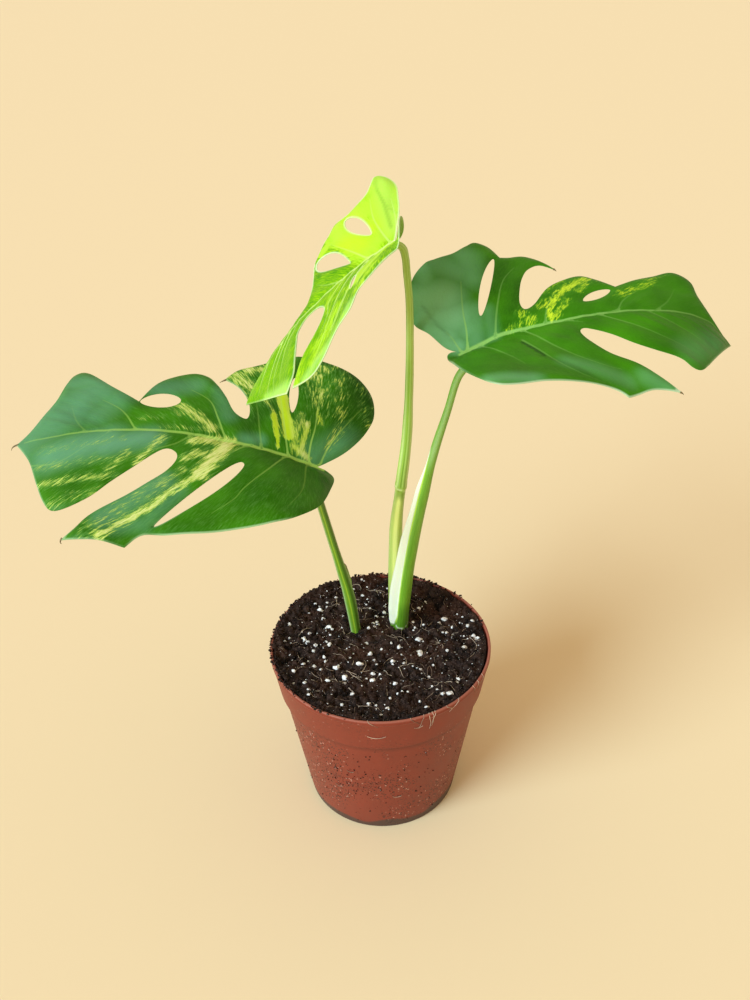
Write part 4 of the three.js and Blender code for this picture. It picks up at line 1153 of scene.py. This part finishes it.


# Left leaf: the widest one, hanging low to the left. Deep green with a painted cool sheen over its end,
# and cream and yellow flecks in a band down its long front lobe and over the lobe behind the stalk.

# A leaf is told in millimetres and degrees on its flat sheet, where x runs along the midrib from the stalk
# and y to the leaf's left. Its edge is a chain of smooth runs that meet in corners. An opening is its two
# ends, its width, the share of its length where it is widest, and its bow. The folds have keys along the
# leaf, from 0 to 1, and the veins' slope and bend have keys along the midrib. The curl is by 10 mm, and
# the ripple is a height, a wave's length and a phase on either side. A vein is its paleness and its line,
# and gold, yolk, rim, cool_painted_light, crease and dark are patches of those looks. The cool patches are a
# painted sheen, and on the right leaf also painted light where the centre leaf's shadow falls; the crease
# patches are painted shade along folds and in a slit.
left_leaf = {
    "base": (-28.7, -4, 216.4),
    "length": 142,
    "azimuth": 181,
    "pitch": 30,
    "roll": -6,
    "droop": 45,
    "droop_power": 1,
    "left_fold": [(-0.3, 14), (0, 14), (0.5, -8), (1, -10)],
    "right_fold": [(-0.3, 26), (0, 26), (0.5, 12), (1, 10)],
    "curl": 2.2,
    "ripple": (1.5, 48, 0.6, 2.2),
    "edge": [
        [(0, 0), (-5, 0), (-9, 4), (-7, 16), (-1, 36), (10, 51), (21, 56), (34, 58), (48, 60), (63, 60),
         (76, 59), (84, 65)],
        [(84, 65), (95, 63), (106, 62), (116, 60)],
        [(116, 60), (109, 56), (102, 50), (87, 40), (78, 33), (70, 26), (66, 19), (67, 14), (73, 13),
         (85, 24), (94, 32), (103, 40), (113, 44), (122, 44), (127, 38), (131, 28), (136, 14), (144, 1)],
        [(144, 1), (138, -6), (133, -15), (128, -25), (125, -38), (122, -45), (116, -45), (102, -30),
         (88, -18)],
        [(88, -18), (82, -30), (75, -37), (66, -42), (59, -40), (54, -34), (49, -26), (44, -17), (38, -14),
         (37, -19), (39, -26), (44, -33), (51, -38)],
        [(51, -38), (46, -45), (38, -50), (28, -58), (19, -65), (4, -63), (-11, -60), (-19, -54),
         (-22, -43), (-20, -32), (-16, -22), (-10, -12), (0, 0)],
    ],
    "openings": [
        ((35.5, 16), (71, 55), 7.5, 0.38, 3), ((69, -20.5), (87.5, -18), 10, 0.45, 0),
        ((18, -25), (20, -48), 4.2, 0.5, 0),
    ],
    "midrib": [(-3, 0), (20, 1), (45, 2), (70, 1), (95, 1), (120, 1), (141, 1)],
    "dash_length": 5.5,
    "quilt": 0.7,
    "midrib_half": 1.4,
    "veins": [
        (0.6, [(45, 1), (47, -3), (51, -12), (56, -22), (66, -29)]),
        (0.45, [(85, 1), (88, -1), (92, -8), (97, -14), (106, -21)]),
        (0.45, [(14, 1), (17, 4), (24, 18), (33, 33), (37, 41), (46, 50)]),
        (0.3, [(4, 1), (6, 6), (7, 23), (9, 33), (14, 45)]),
        (0.9, [(3, 0), (5, -3), (6, -11), (6, -21), (7, -32), (8, -46)]),
        (0.6, [(-1, -1), (-3, -14), (-7, -26), (-15, -45)]),
        (0.2, [(136, 17), (121, 18), (107, 9), (97, 1)]),
        (0.25, [(60, 1), (68, 9), (80, 15), (92, 22), (108, 36)]),
        (0.3, [(33, 1), (42, 10), (54, 26), (72, 42), (92, 54)]), (0.15, [(110, 1), (116, -8), (120, -20)]),
        (0.25, [(28, 1), (31, -10), (34, -22), (38, -36)]),
        (0.6, [(15, 0), (19, -12), (24, -30), (28, -48)]),
    ],
    "vein_slope": [
        (-12, -7), (-6, -2.4), (-2, -0.8), (4, -0.05), (17, 0.45), (45, 0.55), (90, 1), (130, 2.6),
    ],
    "vein_bend": [(0, 0), (17, 0.003), (45, 0.01), (90, 0.014), (130, 0.014)],
    "gold": [
        ((43, 3), (54, 27), 9, 0.78), ((46, 2), (60, 6), 8, 0.66), ((52, 12), (62, 18), 8, 0.55),
        ((53, 26), (73, 44), 5.5, 0.68), ((73, 44), (98, 62), 5.5, 0.7), ((62, 26), (104, 60), 10, 0.42),
        ((74, 5), (84, 22), 6, 0.55), ((89, 16), (97, 26), 6, 0.48), ((92, 8), (130, 10), 8, 0.37),
        ((95, 20), (130, 20), 8, 0.38), ((94, 29), (130, 30), 6, 0.5), ((98, 38), (124, 41), 8, 0.42),
        ((68, -16), (52, -4), 7, 0.62), ((74, -16), (68, -10), 5, 0.45), ((87, -6), (76, -8), 5, 0.36),
        ((75, -2), (52, -2), 5, 0.42), ((52, -39), (35, -48), 9, 0.6), ((46, -40), (32, -29), 9, 0.6),
        ((41, -32), (36, -16), 4, 0.4), ((11, -61), (8, -35), 15, 0.48), ((2, -62), (-4, -32), 13, 0.42),
        ((-12, -54), (-20, -36), 11, 0.35), ((6, -29), (4, -24), 4, 0.62), ((-6, -26), (-2, -13), 7, 0.5),
        ((14, -24), (13, -4), 7, 0.5), ((10, -21), (10, -4), 4.5, 0.68), ((24, -33), (17, -11), 5, 1.15),
        ((26, -20), (22.4, -9), 2.8, 1), ((22.4, -9), (20.6, -2.5), 1.8, 0.9),
        ((37, -36), (26, -20), 4, 0.5), ((6, -58), (-9, -56), 8, 0.37), ((6, -3), (13, -6), 5, 0.75),
    ],
    "yolk": [
        ((24, -33), (17, -10), 6, 1), ((26, -20), (21, -4), 4, 1), ((13, -4), (10, -16), 6, 0.6),
        ((7, -29), (4, -24), 5, 0.6),
    ],
    "rim": [
        ((21, 56), (63, 60), 14, 0.8), ((76, 60), (116, 60), 6, 0.6), ((127, 40), (144, 2), 5, 0.6),
        ((40, -30), (58, -40), 5, 0.7),
    ],
    # Painted sheen: these paler, cooler patches stand for the glossy reflection of the light on the waxy top.
    "cool_painted_light": [
        ((109, -28), (140, 0), 26, 0.52), ((106, -33), (120, -36), 12, 0.5),
        ((98, -22), (106, -10), 14, 0.4), ((98, 8), (126, 14), 16, 0.7), ((80, 6), (100, 12), 11, 0.75),
        ((106, 12), (124, 18), 9, 0.6), ((30, -4), (37, -2), 6, 0.5), ((78, 54), (90, 56), 7, 0.3),
        ((80, -26), (64, -32), 10, 0.4), ((70, 32), (96, 52), 9, 0.5), ((2, -6), (-12, -22), 13, 0.42),
        ((62, 38), (76, 54), 8, 0.25), ((52, -30), (46, -14), 8, 0.3),
    ],
    "crease": [],
    "dark": [
        ((37, -8), (30, -24), 9, 0.7), ((-6, -59), (-18, -48), 12, 0.6), ((-13, -25), (-20, -42), 9, 0.5),
        ((26, -40), (18, -54), 10, 0.5), ((-4, 12), (-7, 20), 8, 0.4),
    ],
}
cream_marbled = leaf_material("cream_marbled_leaf", {
    "deep": "#286102", "mid": "#3f8206", "cool_painted_light": "#6ba37c", "dark": "#1d4d04", "light": "#6ba04a",
    "gold": "#a9c43a", "cream": "#e3e892", "yolk": "#bdd81c", "vein": "#b4de66", "rim": "#b0cf96",
    "under": "#7ba763", "streak": 0.3, "shade": 0.2,
})
left_blade, left_surface = blade_mesh("blade_left", left_leaf, cream_marbled)
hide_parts("leaf_left")
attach(left_blade, "root")

# Right leaf: held level to the right and bent down at its end. Plain green, with a painted cool sheen
# behind the stalk and painted light there where the centre leaf's shadow falls, with two marbled yellow
# patches on its far side and a pale line along its front edge.
right_leaf = {
    "base": (40.1, -4, 274.6),
    "length": 134,
    "azimuth": 6,
    "pitch": 18,
    "roll": 6,
    "droop": 66,
    "droop_power": 2.1,
    "left_fold": [(-0.3, 30), (0, 30), (0.5, 6), (1, 22)],
    "right_fold": [(-0.3, 22), (0, 22), (0.5, -4), (1, -12)],
    "curl": 2.2,
    "ripple": (1.5, 52, 1, 2.6),
    "edge": [
        [(0, 0), (-7, 6), (-12, 16), (-17, 24), (-15, 35), (-11, 48), (-3, 54), (3, 54), (11, 55), (18, 60),
         (23, 64), (28, 61), (31, 52)],
        [(31, 52), (35, 52), (41, 53), (46, 50), (50, 45), (53, 39)],
        [(53, 39), (47, 44), (41, 41), (37, 35), (34, 28), (31, 18), (32, 13), (37, 15), (45, 24), (53, 29),
         (62, 32), (68, 28), (75, 20)],
        [(75, 20), (85, 25), (94, 28), (102, 32), (107, 31), (111, 27), (113, 18), (120, 7), (130, -3)],
        [(130, -3), (118, -18), (107, -31), (101, -36), (96, -36), (91, -32), (80, -28), (71, -23),
         (63, -16), (56, -11), (52, -9), (50, -12), (52, -19), (58, -28), (68, -35), (76, -43), (85, -53)],
        [(85, -53), (76, -51), (69, -51), (58, -55)],
        [(58, -55), (54, -52), (47, -50), (38, -49), (25, -49), (13, -52), (6, -51), (1, -43), (-4, -27),
         (-7, -9), (-8, 1), (-5, 3), (0, 0)],
    ],
    "openings": [
        ((12.5, 16), (28, 51), 4.6, 0.45, 0), ((58, 11), (72, 18), 6, 0.5, 0),
        ((24, -9.5), (30, -28), 0.22, 0.3, 0),
    ],
    "midrib": [
        (-2, 0), (17, 3), (29, 2), (40, 1), (56, 0), (70, 0), (89, 1), (100, 3), (110, 4), (119, 4),
        (128, -2),
    ],
    "dash_length": 3,
    "quilt": 0.6,
    "midrib_half": 1.2,
    "veins": [
        (0.9, [(1, 0), (4, 10), (6, 22), (10, 38)]), (0.8, [(-1, 1), (-2, 5), (-3, 10), (-5, 15)]),
        (0.45, [(15, 2), (18, 11), (22, 21), (28, 34), (36, 44)]),
        (0.3, [(66, 0), (71, 2), (75, 8), (84, 16)]), (0.4, [(7, 1), (10, -3), (15, -18), (21, -34)]),
        (0.35, [(27, 1), (29, -1), (33.5, -13), (38, -22), (44, -30), (52, -36), (61, -39)]),
        (0.3, [(25, -8), (26.6, -14), (31, -27), (33, -32), (36.5, -38), (42, -44), (50, -49)]),
        (0.2, [(46, 0), (49, -2), (54, -5)]), (0.3, [(38, 2), (42, 12), (50, 24)]),
        (0.3, [(60, 0), (72, -9), (88, -20), (100, -26)]), (0.2, [(88, 1), (96, 9), (102, 20)]),
        (0.2, [(84, 0), (98, -10), (112, -18)]),
    ],
    "vein_slope": [(-12, -7), (-6, -2), (-2, -0.6), (4, 0.1), (15, 0.4), (40, 0.6), (70, 1), (110, 2.4)],
    "vein_bend": [(0, 0.003), (15, 0.006), (40, 0.01), (90, 0.012)],
    "gold": [
        ((22, 4), (34, 6), 6, 0.49), ((30, 11), (32, 4), 7, 0.53), ((41, 2), (42, 11), 4, 0.63),
        ((42, 11), (50, 19), 6.5, 0.59), ((50, 20), (64, 28), 6.5, 0.65), ((45, 16), (38, 12), 6, 0.49),
        ((51, 12), (44, 4), 4.5, 0.57), ((64, 26), (58, 18), 5, 0.53), ((42, 21), (54, 29), 5, 0.43),
        ((75, 13), (92, 22), 6.5, 0.51), ((88, 24), (99, 28), 3.5, 0.43), ((66, 27), (72, 20), 3, 0.33),
    ],
    "yolk": [((41, 2), (43, 12), 5, 0.7), ((43, 12), (54, 23), 5, 0.5)],
    "rim": [
        ((-6, -8), (13, -51), 9, 0.8), ((6, -51), (56, -53), 9, 1), ((56, -53), (85, -53), 6, 1),
        ((107, -31), (130, -3), 5, 0.5),
    ],
    # Painted light: the strongest cool patches, behind the stalk, lighten the lobe where the centre leaf's
    # shadow falls, and all of them are a painted sheen.
    "cool_painted_light": [
        ((-2, 31), (-10, 34), 17, 1), ((0, 20), (-10, 26), 16, 0.9), ((-5, 12), (-10, 18), 11, 0.75),
        ((-2, 5), (-6, 9), 8, 0.7), ((-6, 42), (-4, 50), 9, 0.5), ((15, 52), (14, 38), 12, 0.3),
        ((2, 50), (10, 42), 13, 0.35), ((2, 23), (4, 12), 12, 0.5), ((6, 4), (10, 20), 8, 0.35),
        ((14, 3), (16, 18), 6, 0.2), ((4, -46), (20, -48), 8, 0.3), ((70, -44), (81, -51), 9, 0.22),
        ((98, -26), (118, -12), 13, 0.15), ((38, -34), (60, -46), 8, 0.18),
    ],
    # Painted shade: dark lines along two creases on the lobe behind the stalk, and a black line in the narrow
    # slit.
    "crease": [
        ((-10.5, 31), (-8, 21), 1.3, 0.24), ((-8, 21), (-4, 12), 1.2, 0.28),
        ((24.4, -11), (29.7, -27), 0.9, 1),
    ],
    "dark": [
        ((24, 34), (30, 46), 7, 0.4), ((35, 29), (26, 14), 7, 0.6), ((21, 28), (28, 48), 6, 0.4),
        # Painted shadow: the thin dark line from (24.4, -10) to (30.2, -28.5) darkens the narrow slit.
        ((29, -28), (46, -46), 2.5, 0.4), ((24.4, -10), (30.2, -28.5), 0.9, 1),
        ((31, -30), (50, -50), 1.6, 0.35), ((22, 6), (36, 13), 6, 0.3),
    ],
}
lemon_marbled = leaf_material("lemon_marbled_leaf", {
    "deep": "#2e6c02", "mid": "#408606", "cool_painted_light": "#88ca90", "dark": "#1f5204", "light": "#4f9424",
    "gold": "#9cc418", "cream": "#cde03c", "yolk": "#cfe42c", "vein": "#9acd68", "rim": "#bfd6a8",
    "under": "#7ba763", "streak": 0.25, "shade": 0.15,
})
right_blade, right_surface = blade_mesh("blade_right", right_leaf, lemon_marbled)
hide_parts("leaf_right")
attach(right_blade, "root")

# Centre leaf: the youngest and highest, still half folded and seen from the side. Thin and lime-yellow,
# almost without green over its back lobes, greener toward the tip, with cream rims.
centre_leaf = {
    "base": (9.5, 5, 323.5),
    "length": 101,
    "azimuth": 190,
    "pitch": -27,
    "roll": 1,
    "droop": 37,
    "droop_power": 1,
    "left_fold": [(-0.14, 92), (0.02, 14), (0.5, 2), (1, -2)],
    "right_fold": [(0, 16), (0.25, 6), (0.42, 2), (0.58, -28), (1, -40)],
    "curl": 1,
    "ripple": (1, 40, 0.5, 2),
    "edge": [
        [(0, 0), (-3, 5), (-6, 9), (-7, 14), (-4, 19), (4, 24), (14, 31), (22, 33), (28, 40), (37, 43),
         (48, 52), (56, 53), (68, 43)],
        [(68, 43), (59, 34), (51, 29), (44, 23), (40, 15), (43, 8), (50, 6), (56, 10), (58, 16), (62, 29),
         (65, 36), (72, 41)],
        [(72, 41), (85, 24), (101, 1)],
        [(101, 1), (92, -12), (78, -21), (66, -21), (57, -15), (52, -9), (49, -7), (45, -10), (42, -16),
         (39, -27)],
        [(39, -27), (37, -33), (31, -39), (26, -44), (20, -50), (12, -43), (6, -41), (1, -42), (-3, -47),
         (-6, -51), (-9, -50), (-12, -44), (-13, -36), (-11, -27), (-8, -17), (0, 0)],
    ],
    "openings": [
        ((7.5, -14), (14.5, -41), 6.5, 0.55, 0), ((21.5, -6), (35, -31), 10.5, 0.64, 0),
        ((21.5, 12), (25, 22), 2, 0.5, 0),
    ],
    "midrib": [(-2, 0), (15, 1), (35, 2), (50, 1), (70, 0), (99, 1)],
    "dash_length": 6,
    "quilt": 0.8,
    "midrib_half": 0.9,
    "veins": [
        (0.6, [(8, 1), (17, 10), (26, 20), (36, 33), (48, 46)]),
        (0.5, [(2, 0), (3, -10), (3, -24), (0, -38)]), (0.5, [(-1, -1), (-5, -14), (-8, -30)]),
        (0.4, [(14, 0), (18, -12), (22, -24), (26, -36)]), (0.35, [(30, 1), (36, -6), (40, -14)]),
        (0.5, [(54, 1), (64, 8), (72, 22), (74, 32)]), (0.4, [(60, 0), (70, -8), (78, -14)]),
        (0.4, [(25, 2), (36, 12), (40, 24), (52, 38)]), (0.8, [(12, 1), (22, 14), (31, 28), (42, 43)]),
        (0.7, [(20, 2), (33, 18), (44, 35), (56, 49)]), (0.6, [(5, 1), (12, 10), (19, 20), (26, 31)]),
        (0.8, [(66, 1), (75, 9), (81, 18), (83, 25)]), (0.6, [(78, 1), (86, 7), (91, 12)]),
        (0.6, [(60, 1), (69, 9), (77, 20), (79, 29)]),
    ],
    "vein_slope": [(-12, -7), (-6, -2), (-2, -0.6), (4, 0.1), (15, 0.55), (40, 0.8), (90, 1.6)],
    "vein_bend": [(0, 0), (15, 0.004), (40, 0.008), (90, 0.008)],
    "gold": [
        ((0, -12), (-6, -44), 22, 1), ((3, -30), (10, -40), 14, 1), ((21, -42), (12, -3), 14, 1),
        ((27, -36), (31, -34), 6, 1), ((6, -7), (0, -8), 10, 1), ((2, 3), (22, 20), 9, 0.95),
        ((12, 22), (22, 31), 6, 0.6), ((26, 2), (39, 17), 10, 0.46), ((34, 27), (52, 44), 10, 0.56),
        ((56, 30), (64, 44), 8, 0.5),
    ],
    "yolk": [((14, -18), (22, -24), 12, 0.8), ((8, -17), (14, -12), 10, 0.7)],
    "rim": [
        ((0, 0), (50, 50), 90, 0.65), ((30, -30), (95, -15), 30, 0.9), ((-10, -45), (30, -45), 30, 0.6),
    ],
    # Painted sheen: paler, cooler patches near the base and along the edges.
    "cool_painted_light": [
        ((-8, -44), (-3, -8), 9, 0.9), ((-8, -49), (-12, -38), 8, 0.8), ((26, 37), (44, 48), 5, 0.6),
        ((44, 48), (60, 50), 6, 0.7), ((72, 38), (86, 25), 7, 0.8),
    ],
    # Painted shade: darker lines along the folds of the half-folded sheet, and faint shading beside them.
    "crease": [
        ((-6, -49), (-5.5, -45), 2.6, 0.22), ((-6.5, -50), (-4.5, -40), 1.5, 0.25),
        ((-4.5, -40), (-4, -27), 1.2, 0.4), ((-4, -27), (-1.5, -10), 1.4, 0.35),
        ((-4, -27), (-7, -16), 1.1, 0.25), ((-12, -44), (-7, -24), 4, 0.12), ((0, -40), (10, -42), 5, 0.1),
    ],
    "dark": [
        ((38, -20), (23, -9), 9, 0.9), ((33, -8), (26, -8), 8, 0.8), ((17, -4), (24, 1), 4, 0.5),
        ((46, -4), (54, 2), 6, 0.5), ((24, 22), (36, 35), 5, 0.4), ((77, 24), (68, 12), 8, 0.35),
    ],
}
# The lime colours are the leaf's own yellow-green, set brighter to stand also for light shining through the
# thin sheet: in part a painted glow.
lime = leaf_material("lime_leaf_skin", {
    "deep": "#569800", "mid": "#74b000", "cool_painted_light": "#b4e66c", "dark": "#478c00", "light": "#b6de08",
    "gold": "#a6d81e", "cream": "#b4db30", "yolk": "#bfe41c", "vein": "#d8f088", "rim": "#eef7c4",
    "under": "#7fb02c", "streak": 0.8, "shade": 0.5,
})
centre_blade, _ = blade_mesh("blade_centre", centre_leaf, lime)
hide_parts("leaf_centre")
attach(centre_blade, "root")

# Drip tips: the lobes end in fine points that have dried to short brown curls and hang down.
# They are the leaf's own tissue and grow out of its edge.
TIP_TAPER = 0.42
TIP_END_RADIUS = 0.1
TIP_SUNK = 0.6
TIP_STEPS = 12
TIP_SIDES = 6
# Each tip's leaf, place and direction on its flat sheet, length, and bend in degrees.
DRIED_TIPS = [
    (left_surface, (143.6, 1), (1, -0.1), 5.5, 70),
    (left_surface, (115.6, 59.6), (0.8, 0.6), 3.2, 120),
    (left_surface, (51, -37.6), (0.7, 0.5), 3.4, 20),
    (right_surface, (52.7, 39.4), (0.6, -0.9), 1.8, 40),
    (right_surface, (84.6, -52.8), (0.9, -0.5), 1.8, 30),
]

# Dried leaf tissue: brittle and dull, dark brown mottled with straw.
dried, tree, shader = new_material("dried_leaf_tip")
place = add(tree, "TexCoord", {}, "Object")
crisp = add(tree, "TexNoise", {"Vector": place, "Scale": 1 / (1.2 * MM), "Detail": 2})
brown = add(tree, "Mix", {0: crisp, 6: "#4d3a20", 7: "#8c7a48"}, **BLEND)
feed(shader, {"Base Color": brown, "Roughness": 0.7})

curls = []
for surface, (x, y), (ahead, aside), length, bend in DRIED_TIPS:
    start, beyond = surface(np.array([x, x + 0.5 * ahead]), np.array([y, y + 0.5 * aside]))
    heading = Vector(beyond - start).normalized()
    point = Vector(start) - heading * TIP_SUNK
    axis = heading.cross(Vector((0, 0, -1))).normalized()
    points = []
    for step in range(TIP_STEPS + 1):
        points.append(point.copy())
        point += heading * (length / TIP_STEPS)
        heading = Matrix.Rotation(math.radians(bend / TIP_STEPS * (0.4 + step / 10)), 3, axis) @ heading
    curls.append(tube(points, lambda t: TIP_TAPER * (1 - t) + TIP_END_RADIUS, TIP_SIDES))
tips = new_piece("dried_tips", *gather(curls), dried, crease=80)
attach(tips, "root")

# Floor and light: a plain pale floor and soft studio light, which are not part of the plant. The main
# light comes from the front left, a little above the camera, and the room's own light is warmer.
FLOOR_CORNERS = [(-8, -4, 0), (8, -4, 0), (8, 12, 0), (-8, 12, 0)]
LIGHT_FROM = (-0.7, -0.55, 0.455)

# Backdrop paper: matt and cream, with no pattern of its own.
paper, _, shader = new_material("cream_paper")
feed(shader, {"Base Color": "#f6dfb2", "Roughness": 0.9})
floor_mesh = bpy.data.meshes.new("floor")
floor_mesh.from_pydata(FLOOR_CORNERS, [], [(0, 1, 2, 3)])
floor_mesh.materials.append(paper)
floor = bpy.data.objects.new("floor", floor_mesh)
bpy.context.scene.collection.objects.link(floor)

bpy.context.scene.view_settings.view_transform = "Standard"
room = bpy.data.worlds.new("room")
room.use_nodes = True
feed(room.node_tree.nodes["Background"], {"Color": "#ffe6c8", "Strength": 0.66})
bpy.context.scene.world = room

softbox = bpy.data.lights.new("softbox", "SUN")
softbox.energy = 4
softbox.angle = math.radians(34)
softbox.color = linear("#cfebff")[:3]
placed = bpy.data.objects.new("softbox", softbox)
placed.rotation_euler = Vector(LIGHT_FROM).to_track_quat("Z", "Y").to_euler()
bpy.context.scene.collection.objects.link(placed)
